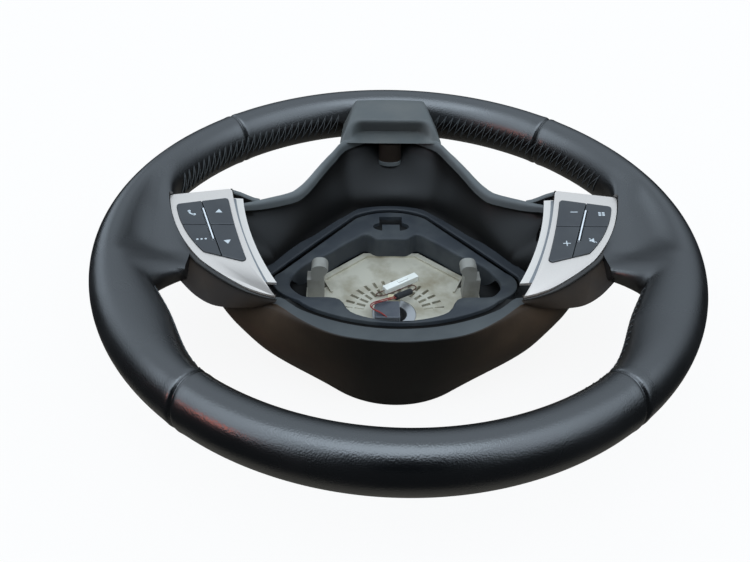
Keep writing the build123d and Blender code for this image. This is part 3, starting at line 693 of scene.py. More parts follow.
# Dark finish for the arms: painted shade where the rim shadows them, taken as foam over the arms
FOAM_SHADE = MouldedPlastic("arm_foam", "#151516", "#1b1b1c", "#232324", 0.8, 1.4, 0.1, 20.0)
HOUSING = MouldedPlastic("housing_abs", "#17181a", "#1f2022", "#2c2d2f", 0.6)
PLUG = MouldedPlastic("plug_nylon", "#45484f", "#54565b", "#6b6e73", 0.5, 0.6, 0.04, 9.0)
CONNECTOR = MouldedPlastic("connector_nylon", "#f0efe6", "#e3e1d5", "#f6f5f0", 0.45, 0.6, 0.03, 12.0)
LATCH = MouldedPlastic("latch_nylon", "#cfc5a4", "#bfb391", "#ded6ba", 0.5, 0.6, 0.03, 6.0)
BOARD = MouldedPlastic("board_fibreglass", "#1d4a2a", "#235733", "#8a8f60", 0.35)
MAT = MouldedPlastic("mat_silicone", "#55585c", "#5e6164", "#6c6f73", 0.75)
SILVER = SilverPaint("bezel_silver_paint", "#ebe1d8", "#dbd1c8", 0.5, 0.62, 0.36)
# Brighter silver for the bezel's lower strip: painted light
STRIP_LIT = SilverPaint("strip_silver_paint", "#f1e9e0", "#e6ddd4", 0.5, 0.6, 0.28)
# Grey for the line along the bezel's step: painted shade
STEP_SHADE = SilverPaint("step_silver_paint", "#94979a", "#878a8c", 0.5, 0.5, 0.4)
BAR = SilverPaint("light_bar_silver_paint", "#eceded", "#e0e2e3", 0.4, 0.1, 0.35)
CAST = CastMetal("cast_magnesium", "#c2bcab", "#8f846c")
POST = CastMetal("post_magnesium", "#96938b", "#5f584d")
BUSH = CastMetal("bush_steel", "#b9bbbb", "#96989a", 0.55, 0.38, 1.2, 14.0)
SCREW = CastMetal("screw_zinc_steel", "#6f7174", "#54565a", 0.8, 0.4, 0.8, 5.0)
RED_WIRE = Jacket("red_pvc", "#9c2f26", "#74211b", 0.42)
BROWN_WIRE = Jacket("brown_pvc", "#5b3220", "#43241a", 0.42)
TAPE = Jacket("cloth_tape", "#232425", "#303030", 0.85, 0.8)
PRINT = Jacket("white_print", "#cfd3d4", "#bcc1c3", 0.55)


# Rim


@dataclass
class LeatherGrip:
    """Padded leather rim with thumb rests and spoke roots, sewn from four panels."""

    rim_radius: float = 188.0
    width: float = 28.8
    depth: float = 36.8
    height: float = 84.0
    seams: tuple[float, float] = (39.0, 138.0)
    seam_depth: float = 1.5
    seam_width: float = 0.9
    seam_swell: tuple[float, float, float] = (0.3, 3.2, 2.0)
    thumb_rest: float = 10.5
    thumb_angle: float = 62.0
    root_upper: tuple[float, float] = (77.2, 5.5)
    root_lower: tuple[float, float] = (108.0, 7.0)
    root_delay: float = 9.0
    root_depth: float = 22.0
    root_edge_share: float = 0.5
    root_end: tuple[float, float] = (74.5, 1.26)
    root_cover: float = 0.6
    corner: tuple[float, float, float] = (151.2, -45.5, 88.0)
    slope: tuple[float, float] = (0.076, 0.089)
    web_end: float = 130.0
    panel_gap: float = 0.5
    corner_deg: int = 18
    corner_steps: int = 3
    first_root_corner: int = 11
    station_deg: float = 1.0
    seam_stations: tuple[float, ...] = (0.08, 0.18, 0.3, 0.45, 0.7)

    @property
    def centre_radius(self) -> float:
        """Radius of the grip's centre line."""
        return self.rim_radius - self.width / 2

    def face_height(self, x: float, y: float) -> float:
        """Height of the switch face over a point of the right half."""
        x0, y0, z0 = self.corner
        return z0 - self.slope[0] * (x0 - x) - self.slope[1] * (y - y0)

    def oval(self, turn: float, inner: float) -> Vector:
        """Point of the plain section at a turn from its outer side, in degrees."""
        c, s = math.cos(math.radians(turn)), math.sin(math.radians(turn))
        return Vector((c * (self.width / 2 if c > 0 else inner), s * self.depth / 2))

    def bulge(self, angle: float) -> float:
        """Extra width of the thumb rest at a clock angle."""
        rise = (angle - self.seams[0]) / (self.thumb_angle - self.seams[0])
        fall = (angle - self.thumb_angle) / (90 - self.thumb_angle)
        return self.thumb_rest * min(smooth(rise), 1 - smooth(fall))

    def root_share(self, angle: float, reach: float) -> float:
        """How far the section has become a spoke root, at a share of the way from the rim to its end."""
        (upper, upper_blend), (lower, lower_blend) = self.root_upper, self.root_lower
        upper += self.root_delay * (1 - reach)
        rise = (angle - upper + upper_blend) / (2 * upper_blend)
        fall = (angle - lower + lower_blend) / (2 * lower_blend)
        return min(smooth(rise), 1 - smooth(fall))

    def section(self, angle: float) -> list[Vector]:
        """Smooth outline of the grip at a clock angle of the right half.

        Args:
            angle: Degrees from twelve o'clock.

        Returns:
            Points as radial and axial offsets from the grip's centre.
        """
        inner = self.width / 2 + self.bulge(angle)
        corners = [self.oval(turn, inner) for turn in range(90, -270, -self.corner_deg)]
        root = self.root_side(angle)
        end = min(p.x for p in root)
        for k, point in enumerate(root, self.first_root_corner):
            corners[k] = corners[k].lerp(point, self.root_share(angle, point.x / end))
        return closed_spline(corners, self.corner_steps)

    def root_side(self, angle: float) -> list[Vector]:
        """Inner side of the section where the rim runs into the spoke."""
        upper, blend = self.root_upper
        reach_in, per_degree = self.root_end
        radius = self.rim_radius - reach_in + per_degree * (angle - upper)
        a = math.radians(angle)
        top = self.face_height(radius * math.sin(a), radius * math.cos(a)) - self.height + self.root_cover
        thickening = smooth((angle - upper) / (2 * blend))
        bottom = -self.root_depth * (self.root_edge_share + (1 - self.root_edge_share) * thickening)
        middle = (top + bottom) / 2
        reach = radius - self.centre_radius
        low = 0.7 * bottom - 0.3 * self.depth / 2
        side = [(0.24, low), (0.56, bottom), (0.88, bottom), (0.98, (middle + bottom) / 2), (1, middle)]
        side += [(0.98, (middle + top) / 2), (0.88, top), (0.54, top + 3), (0.26, top + 9)]
        return [Vector((share * reach, z)) for share, z in side]

    def place(self, angle: float, point: Vector) -> Vector:
        """Point of the row frame, in metres, for a section point at a full clock angle."""
        a = math.radians(angle)
        radius = self.centre_radius + point.x
        return Vector((radius * math.sin(a), radius * math.cos(a), self.height + point.y)) * MM

    def seam_distance(self, angle: float) -> float:
        """Distance along the rim from the nearest seam, in millimetres."""
        nearest = min(abs(angle - seam) for seam in self.seams)
        return math.radians(nearest) * self.centre_radius

    def stations(self) -> list[float]:
        """Clock angles of the sections on the right half, closer together at the seams."""
        count = round(180 / self.station_deg)
        angles = {k * self.station_deg for k in range(count + 1)}
        for seam in self.seams:
            angles |= {seam + sign * step for step in self.seam_stations for sign in (-1, 1)}
        return sorted(angles)

    def seamed_section(self, angle: float) -> list[Vector]:
        """Section with the seam's groove and the padding's swell beside it."""
        distance = self.seam_distance(angle)
        groove = self.seam_depth * math.exp(-((distance / self.seam_width) ** 2))
        rise, place, width = self.seam_swell
        shift = rise * math.exp(-(((distance - place) / width) ** 2)) - groove
        return [p + p.normalized() * shift for p in self.section(angle)]

    def spoke_cutter(self, side: Side) -> bpy.types.Object:
        """Prism a gap larger than a bezel, to cut the spoke root to the bezel's outline."""
        ring = [p + out * self.panel_gap * MM for p, out in bezel_outline(side)]
        normal = face_normal(side)
        reach = 2 * self.depth * MM
        points = [p + normal * reach for p in ring] + [p - normal * reach for p in ring]
        return mesh_piece(f"{side.prefix}_spoke_cutter", points, tube_faces(2, len(ring)))

    def hub_cutter(self) -> bpy.types.Object:
        """Box over the hub, to end the spoke roots."""
        x, y, z = self.web_end * MM, 0.4 * self.rim_radius * MM, 4 * self.depth * MM
        plan = box_outline(0, 0, 2 * x, 2 * y)
        corners = [(*corner, level) for level in (-z, z) for corner in plan]
        return mesh_piece("hub_cutter", corners, tube_faces(2, len(plan)))

    def build(self) -> None:
        """Build the whole rim, cut to the bezels, and dress it."""
        half = self.stations()
        rings = [(angle, self.seamed_section(angle)) for angle in half]
        turns = rings + [(-angle, section) for angle, section in reversed(rings[1:-1])]
        points = [self.place(angle, p) for angle, section in turns for p in section]
        grip = mesh_piece("leather_rim", points, ring_faces(len(turns), len(rings[0][1]), True), 60)
        for cutter in (self.spoke_cutter(Side.RIGHT), self.spoke_cutter(Side.LEFT), self.hub_cutter()):
            cut_away(grip, cutter)
        grip.data.shade_smooth()
        grip.data.set_sharp_from_angle(angle=math.radians(50))
        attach(grip, WHEEL)
        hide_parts("leather_grip")
        dress(grip, LEATHER)


def face_normal(side: Side) -> Vector:
    """Unit normal of a switch face, from the travel of its keys."""
    joint = next(j for j in frame["joints"] if j["child"].startswith(side.prefix))
    return -Vector(joint["axis"]).normalized()


def convex_outline(points: Iterable[tuple[float, float]]) -> list[tuple[float, float]]:
    """Corners of the convex outline round flat points, in order."""
    flat = sorted(set(points))

    def chain(row: list[tuple[float, float]]) -> list[tuple[float, float]]:
        """One half of the outline of sorted points."""
        kept: list[tuple[float, float]] = []
        for p in row:
            while len(kept) > 1:
                (ax, ay), (bx, by) = kept[-2:]
                if (bx - ax) * (p[1] - ay) - (by - ay) * (p[0] - ax) > 0:
                    break
                kept.pop()
            kept.append(p)
        return kept[:-1]

    return chain(flat) + chain(flat[::-1])


@lru_cache(maxsize=None)
def bezel_outline(side: Side) -> tuple[tuple[Vector, Vector], ...]:
    """Outer edge of a bezel on its face, from the CAD node.

    Args:
        side: Which bezel.

    Returns:
        Points of the convex outline in order, each with its outward direction.
    """
    normal = face_normal(side)
    across = Vector((1, 0, 0)).cross(normal).cross(normal).normalized()
    along = normal.cross(across)
    corners = [v.co.copy() for v in frame["nodes"][f"{side.prefix}_bezel"].data.vertices]
    level = max(p.dot(normal) for p in corners)
    ring = convex_outline((round(p.dot(across), 6), round(p.dot(along), 6)) for p in corners)
    found = []
    for before, here, after in zip(ring[-1:] + ring[:-1], ring, ring[1:] + ring[:1]):
        out = Vector((after[1] - before[1], before[0] - after[0])).normalized()
        point = across * here[0] + along * here[1] + normal * level
        found.append((point, across * out.x + along * out.y))
    return tuple(found)


@dataclass
class RimLacing:
    """Hand lacing that draws the leather together on the inner side of the rim."""

    grip: LeatherGrip
    pitch: float = 5.4
    lean: float = 8.4
    low_turn: float = 203.0
    high_turn: float = 160.0
    thread_radius: float = 0.3
    rise: float = 3.2
    stretches: tuple[tuple[float, float], ...] = ((-72.0, 72.0), (112.0, 169.0), (191.0, 248.0))

    def surface(self, angle: float, turn: float) -> tuple[Vector, Vector]:
        """Point on the grip's inner side and its outward normal, at a full clock angle."""
        own = angle if angle <= 180 else 360 - angle
        inner = self.grip.width / 2 + self.grip.bulge(abs(own))
        point = self.grip.oval(turn, inner)
        rim = self.grip.place(angle, point)
        a = math.radians(angle)
        radial = point.x / inner**2
        axial = point.y / (self.grip.depth / 2) ** 2
        return rim, Vector((radial * math.sin(a), radial * math.cos(a), axial)).normalized()

    def strand_places(self) -> list[tuple[Vector, Vector, Vector]]:
        """Both ends of every strand of the zigzag, with the surface's normal between them."""
        inner_radius = self.grip.centre_radius - self.grip.width / 2
        lean = math.degrees(self.lean / inner_radius)
        step = math.degrees(self.pitch / inner_radius)
        found = []
        for start, end in self.stretches:
            for k in range(int((end - start - lean) / step)):
                angle = start + k * step
                low, _ = self.surface(angle, self.low_turn)
                high, _ = self.surface(angle + lean, self.high_turn)
                _, normal = self.surface(angle + lean / 2, (self.low_turn + self.high_turn) / 2)
                back, _ = self.surface(angle + step, self.low_turn)
                found += [(low, high, normal), (high, back, normal)]
        return found

    def build(self) -> None:
        """Build the lacing as one mesh: a strand on each place, bowed over the grip."""
        strands = self.strand_places()
        length = max((high - low).length for low, high, _ in strands)
        points = [(low + high) / 2 for low, high, _ in strands]
        mesh = bpy.data.meshes.new("rim_lacing")
        mesh.from_pydata(points, [], [])
        turns = mesh.attributes.new("strand_turn", "FLOAT_VECTOR", "POINT")
        for k, (low, high, normal) in enumerate(strands):
            along = (high - low).normalized()
            up = (normal - along * normal.dot(along)).normalized()
            basis = Matrix((along, up.cross(along), up)).transposed()
            turns.data[k].vector = basis.to_euler()
        piece = link_mesh("rim_lacing", mesh)
        sizes = {
            "Strand Length": length,
            "Strand Rise": self.rise * MM,
            "Thread Radius": self.thread_radius * MM,
            "Thread": LACE.material(),
        }
        instance_strands(piece, sizes)
        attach(piece, WHEEL)
        LOG.info("%s: %d strands", piece.name, len(strands))


def instance_strands(piece: bpy.types.Object, sizes: dict[str, object]) -> None:
    """Put a bowed strand of thread on each point of a mesh, turned by its strand_turn attribute.

    Args:
        piece: Object whose points carry the strands; it becomes the finished mesh.
        sizes: Values of the tree's named inputs.
    """
    tree = bpy.data.node_groups.new("bowed_strands", "GeometryNodeTree")
    tree.interface.new_socket("Geometry", in_out="INPUT", socket_type="NodeSocketGeometry")
    for name, value in sizes.items():
        kind = "NodeSocketFloat" if isinstance(value, float) else "NodeSocketMaterial"
        tree.interface.new_socket(name, in_out="INPUT", socket_type=kind)
    tree.interface.new_socket("Geometry", in_out="OUTPUT", socket_type="NodeSocketGeometry")
    given = add_node(tree, "NodeGroupInput").outputs
    half = add_node(tree, "ShaderNodeMath", {1: 0.5}, {0: given["Strand Length"]}, operation="MULTIPLY")
    back = add_node(tree, "ShaderNodeMath", {1: -0.5}, {0: given["Strand Length"]}, operation="MULTIPLY")
    start = add_node(tree, "ShaderNodeCombineXYZ", links={"X": back.outputs[0]})
    middle = add_node(tree, "ShaderNodeCombineXYZ", links={"Z": given["Strand Rise"]})
    end = add_node(tree, "ShaderNodeCombineXYZ", links={"X": half.outputs[0]})
    path = add_node(
        tree, "GeometryNodeCurveQuadraticBezier", {"Resolution": 6},
        {"Start": start.outputs[0], "Middle": middle.outputs[0], "End": end.outputs[0]},
    )
    round_section = add_node(
        tree, "GeometryNodeCurvePrimitiveCircle", {"Resolution": 6}, {"Radius": given["Thread Radius"]}
    )
    strand = add_node(
        tree, "GeometryNodeCurveToMesh", {"Fill Caps": True},
        {"Curve": path.outputs[0], "Profile Curve": round_section.outputs[0]},
    )
    turn = add_node(
        tree, "GeometryNodeInputNamedAttribute", {"Name": "strand_turn"}, data_type="FLOAT_VECTOR"
    )
    rotation = add_node(tree, "FunctionNodeEulerToRotation", links={0: turn.outputs[0]})
    strands = add_node(
        tree, "GeometryNodeInstanceOnPoints",
        links={"Points": given["Geometry"], "Instance": strand.outputs[0], "Rotation": rotation.outputs[0]},
    )
    real = add_node(tree, "GeometryNodeRealizeInstances", links={"Geometry": strands.outputs[0]})
    dressed = add_node(
        tree, "GeometryNodeSetMaterial", links={"Geometry": real.outputs[0], "Material": given["Thread"]}
    )
    add_node(tree, "NodeGroupOutput", links={0: dressed.outputs[0]})
    modifier = piece.modifiers.new("strands", "NODES")
    modifier.node_group = tree
    for socket in tree.interface.items_tree:
        if socket.in_out == "INPUT" and socket.name in sizes:
            modifier[socket.identifier] = sizes[socket.name]
    bake_modifiers(piece)
    piece.data.shade_smooth()


# Switch spokes


@dataclass
class SwitchSpoke:
    """Silver bezel with four keys, a light bar and the moulded skirt below it, on one side."""

    side: Side
    keys: dict[str, tuple[Sign, float, float, float]] = field(default_factory=dict)
    corner: tuple[float, float] = (151.2, -45.5)
    print_thickness: float = 0.05
    print_sink: float = 0.01
    strip_drop: float = 4.0
    strip_line: tuple[tuple[float, float], ...] = ((-40.6, -5.6), (-50.9, 33.4), (-67.9, 72.6))
    strip_gap: float = 2.3
    strip_steps: int = 16
    strip_lift: tuple[float, float] = (-0.03, 0.06)
    strip_margin: float = 1.0
    tip_shift: tuple[float, float] = (-5.2, -0.8)
    tip_reach: float = 15.0
    roll_radius: float = 1.5
    roll_gap: float = 1.9
    roll_drop: float = 1.1
    roll_end: tuple[float, float] = (0.3, 12.0)
    edge_start: float = -4.0
    edge_way: tuple[float, float] = (0.9, 0.6)
    skirt_stations: int = 24
    skirt_rows: int = 8
    skirt_head: tuple[float, float] = (0.3, 1.6)
    skirt_lean: float = 0.5
    bulge_share: float = 0.25
    skirt_foot: tuple[tuple[float, float, float], ...] = (
        (135.5, 27.5, 76.0), (125.4, 35.4, 69.6), (115.3, 39.7, 65.2), (105.2, 42, 64.5),
        (95, 43.1, 65.1), (84.9, 43.1, 66.0), (74.8, 44.2, 70.6),
    )
    skirt_bulge: tuple[float, float] = (7.0, 3.2)
    skirt_wall: float = 2.2
    skirt_cuts: tuple[tuple[tuple[float, float], tuple[float, float]], ...] = (
        ((152, -45.2), (108, -57.7)), ((114.5, 25), (136, -6)),
        ((72, 44), (114.5, 25)), ((86, 0), (86, 40)),
    )

    def part(self, name: str) -> str:
        """Name of this side's CAD node."""
        return f"{self.side.prefix}_{name}"

    def build(self) -> None:
        """Build and dress every piece of the spoke."""
        self.bezel()
        self.light_strip()
        skirt = eased_copy(self.part("spoke_skirt"), self.part("skirt_moulding"), 0.8, 3)
        # The moulding is cut to end under its smooth outer face and beside the bezel's tip
        for line in self.skirt_cuts:
            start, end = (Vector((self.side.value * x, y, 0)) * MM for x, y in line)
            cut_flat(skirt, start, (end - start).cross(Vector((0, 0, -self.side.value))))
        dress(skirt, SKIRT)
        self.skirt_face()
        dress(frame["nodes"][self.part("switch_housing")], HOUSING)
        dress(frame["nodes"][self.part("switch_board")], BOARD)
        dress(frame["nodes"][self.part("switch_mat")], MAT)
        for key, (sign, dx, dy, turn) in self.keys.items():
            cap = eased_copy(key, f"{key}_cap", 0.35, 3)
            dress(cap, KEY)
            self.print_sign(key, sign, dx, dy, turn)
        self.rolled_edge()

    def print_sign(self, key: str, sign: Sign, dx: float, dy: float, turn: float) -> None:
        """Print a sign on a key's face.

        Args:
            key: CAD node of the key.
            sign: What is printed.
            dx: Place from the bezel's outer lower corner, towards the rim, in millimetres.
            dy: Place from that corner, towards twelve o'clock, in millimetres.
            turn: Turn of the sign on the right-hand spoke, in degrees.
        """
        normal = face_normal(self.side)
        right = (Vector((1, 0, 0)) - normal * normal.x).normalized()
        up = normal.cross(right)
        level = max(v.co.dot(normal) for v in frame["nodes"][key].data.vertices)
        centre = self.face_point(dx, dy, level)
        angle = math.radians(self.side.value * turn)
        points, faces = [], []
        for outline in SIGN_SHAPES[sign]:
            size, start = len(outline), len(points)
            for lift in (0.0, self.print_thickness):
                for u, v in outline:
                    s = u * math.cos(angle) - v * math.sin(angle)
                    t = u * math.sin(angle) + v * math.cos(angle)
                    points.append(centre + (right * s + up * t + normal * (lift - self.print_sink)) * MM)
            faces += [tuple(start + n for n in face) for face in tube_faces(2, size)]
        piece = mesh_piece(f"{key}_sign", points, faces)
        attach(piece, f"{key}_body")
        dress(piece, PRINT)

    def face_point(self, dx: float, dy: float, level: float) -> Vector:
        """Point on a plane parallel to the switch face.

        Args:
            dx: Place from the bezel's outer lower corner, towards the rim, in millimetres.
            dy: Place from that corner, towards twelve o'clock, in millimetres.
            level: Distance of the plane from the origin, in metres.

        Returns:
            The point, in metres.
        """
        normal = face_normal(self.side)
        x, y = self.side.value * (self.corner[0] + dx) * MM, (self.corner[1] + dy) * MM
        return Vector((x, y, (level - normal.x * x - normal.y * y) / normal.z))

    def drawn_out(self, point: Vector) -> Vector:
        """Point of the bezel, in metres, after its tip is drawn out to a narrow end."""
        normal = face_normal(self.side)
        tip = max((p for p, _ in bezel_outline(self.side)), key=lambda p: p.y)
        share = smooth(1 - (point.xy - tip.xy).length / (self.tip_reach * MM))
        end = tip + Vector((self.side.value * self.tip_shift[0], self.tip_shift[1], 0)) * MM
        return point + (end - point - normal * (end - point).dot(normal)) * share

    def bezel(self) -> None:
        """Silver frame with its lower strip on the hub side painted brighter as painted light, and a grey
        line of painted shade along the step between the two.
        """
        normal = face_normal(self.side)
        bezel = eased_copy(self.part("bezel"), self.part("bezel_frame"), 0.8, 4)
        for vertex in bezel.data.vertices:
            vertex.co = self.drawn_out(vertex.co)
        dress(bezel, SILVER)
        # The strip's flat faces, one step below the face, get a brighter silver: painted light
        bezel.data.materials.append(STRIP_LIT.material())
        level = max(v.co.dot(normal) for v in bezel.data.vertices)
        low = level - self.strip_drop * MM
        for face in bezel.data.polygons:
            flat = face.normal.dot(normal) > 0.5
            face.material_index = int(flat and abs(face.center.dot(normal) - low) < self.strip_margin * MM)
        # A thin grey ribbon on the strip along the foot of the step: painted shade in the corner
        start, middle, end = (Vector(place) for place in self.strip_line)
        points: list[Vector] = []
        for k in range(self.strip_steps + 1):
            t = k / self.strip_steps
            place = start * (1 - t) * (1 - 2 * t) + middle * 4 * t * (1 - t) + end * t * (2 * t - 1)
            for lift in self.strip_lift:
                for shift in (0.0, -self.strip_gap):
                    points.append(self.face_point(place.x + shift, place.y, low + lift * MM))
        rings = [points[n : n + 4] for n in range(0, len(points), 4)]
        loops = [p for a, b, c, d in rings for p in (a, b, d, c)]
        line = mesh_piece(self.part("strip_gap"), loops, tube_faces(len(rings), 4))
        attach(line, WHEEL)
        dress(line, STEP_SHADE)

    def light_strip(self) -> None:
        """Light bar with a bright top, and painted shade on its rounded edges."""
        strip = eased_copy(self.part("light_bar"), self.part("light_strip"), 0.55, 3)
        dress(strip, BAR)
        strip.data.materials.append(HOUSING.material())
        wear_and_light = strip.data.attributes["edge_wear"].data
        # The rounded edges take the housing's dark finish: painted shade
        for face in strip.data.polygons:
            face.material_index = int(wear_and_light[face.index].value > 0.5)

    def outer_edge(self) -> list[tuple[Vector, Vector]]:
        """Bezel's outline from the leather to the tip, each point with its outward direction."""
        slant, facing = self.edge_way
        way = Vector((self.side.value, slant, 0))
        edge = [
            (self.drawn_out(p), out)
            for p, out in bezel_outline(self.side)
            if p.y > self.edge_start * MM and out.dot(way) > facing
        ]
        return sorted(edge, key=lambda pair: pair[0].y)

    def skirt_face(self) -> None:
        """Smooth outer face of the skirt, from the bezel's edge down to the rear cover."""
        normal = face_normal(self.side)
        edge = self.outer_edge()
        first, last = edge[0][0].x, edge[-1][0].x
        lengths = [0.0]
        for (p, _), (q, _) in zip(edge, edge[1:]):
            lengths.append(lengths[-1] + (q - p).length)
        stations, rows = self.skirt_stations, self.skirt_rows
        full, plain = self.skirt_bulge
        points: list[Vector] = []
        for k in range(stations + 1):
            way = lengths[-1] * k / stations
            i = next((n for n in range(1, len(edge)) if lengths[n] >= way - 1e-9), len(edge) - 1)
            (p, p_out), (q, q_out) = edge[i - 1], edge[i]
            share = (way - lengths[i - 1]) / max(lengths[i] - lengths[i - 1], 1e-9)
            out = p_out.lerp(q_out, share).normalized()
            across = (first - p.lerp(q, share).x) / (first - last)
            head = p.lerp(q, share) + (out * self.skirt_head[0] - normal * self.skirt_head[1]) * MM
            place = min(max(across, 0.0), 1.0) * (len(self.skirt_foot) - 1)
            x, y, z = (spline_through([c[n] for c in self.skirt_foot], place) for n in range(3))
            foot = Vector((self.side.value * x, y, z)) * MM
            swell = (out + Vector((0, 0, -self.skirt_lean))).normalized()
            bulge = plain + (full - plain) * (1 - smooth(k / stations / self.bulge_share))
            middle = (head + foot) / 2 + swell * bulge * MM
            for wall in (0.0, self.skirt_wall):
                face = []
                for n in range(rows + 1):
                    t = n / rows
                    place_on = head * (1 - t) ** 2 + middle * 2 * t * (1 - t) + foot * t**2
                    face.append(place_on - swell * wall * MM)
                points += face if wall == 0 else face[::-1]
        faces = tube_faces(stations + 1, 2 * (rows + 1))
        piece = mesh_piece(self.part("skirt_face"), points, faces, 50)
        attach(piece, WHEEL)
        dress(piece, SKIRT)

    def rolled_edge(self) -> None:
        """Rolled upper edge of the skirt, a thin gap outside the bezel."""
        normal = face_normal(self.side)
        edge = self.outer_edge()
        curve = bpy.data.curves.new(self.part("rolled_edge"), "CURVE")
        curve.dimensions = "3D"
        curve.bevel_depth = self.roll_radius * MM
        curve.bevel_resolution = 3
        curve.use_fill_caps = True
        spline = curve.splines.new("POLY")
        spline.points.add(len(edge) - 1)
        thin, length = self.roll_end
        for point, (p, out) in zip(spline.points, edge):
            place = p + (out * self.roll_gap - normal * self.roll_drop) * MM
            point.co = (*place, 1.0)
            end = min(edge[-1][0].y - p.y, p.y - edge[0][0].y)
            point.radius = thin + (1 - thin) * smooth(end / (length * MM))
        source = bpy.data.objects.new(self.part("rolled_edge_path"), curve)
        bpy.context.scene.collection.objects.link(source)
        piece = link_mesh(self.part("rolled_edge"), evaluated_mesh(source))
        bpy.data.objects.remove(source)
        piece.data.shade_smooth()
        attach(piece, WHEEL)
        dress(piece, SKIRT_ROLL)


SIGN_SHAPES: dict[Sign, list[list[tuple[float, float]]]] = {
    Sign.HANDSET: [
        arc(-1.4, -1.4, 4.0, 2, 88, 10) + arc(-1.4, -1.4, 2.9, 88, 2, 10),
        arc(2.0, -1.4, 1.05, 0, 330, 11),
        arc(-1.4, 2.0, 1.05, 0, 330, 11),
    ],
    Sign.ARROW_DOWN: [[(-2.3, 1.6), (2.3, 1.6), (0.0, -2.0)]],
    Sign.ARROW_UP: [[(-2.3, -1.6), (2.3, -1.6), (0.0, 2.0)]],
    Sign.DOTS: [arc(x, 0.0, 0.75, 0, 330, 11) for x in (-2.6, 0.0, 2.6)],
    Sign.GRID: [box_outline(x, y, 1.7, 1.5) for x in (-1.2, 1.2) for y in (-1.05, 1.05)],
    Sign.SPEAKER: [
        [(2.2, 0.8), (1.0, 0.8), (-0.8, 2.3), (-0.8, -2.3), (1.0, -0.8), (2.2, -0.8)],
        bar_outline(-2.3, 2.0, -1.3, 1.1, 0.5),
        bar_outline(1.3, -1.3, 2.3, -2.2, 0.5),
    ],
    Sign.MINUS: [box_outline(0.0, 0.0, 4.8, 0.7)],
    Sign.PLUS: [
        box_outline(0.0, 0.0, 4.8, 0.6),
        box_outline(0.0, 1.35, 0.6, 2.1),
        box_outline(0.0, -1.35, 0.6, 2.1),
    ],
}


# Hub


@lru_cache(maxsize=None)
def tray_outline() -> tuple[tuple[float, float], ...]:
    """Convex plan outline of the CAD tray, in millimetres."""
    corners = [v.co / MM for v in frame["nodes"]["inner_cover"].data.vertices]
    return tuple(convex_outline((round(p.x, 3), round(p.y, 3)) for p in corners))


def tray_radius(angle: float) -> float:
    """Radius of the tray's outline at a clock angle."""
    ring = tray_outline()
    way = Vector((math.sin(math.radians(angle)), math.cos(math.radians(angle))))
    radius = math.inf
    for (ax, ay), (bx, by) in zip(ring, ring[1:] + ring[:1]):
        out = Vector((by - ay, ax - bx)).normalized()
        facing = out.dot(way)
        if facing > 1e-6:
            radius = min(radius, out.dot(Vector((ax, ay))) / facing)
    return radius


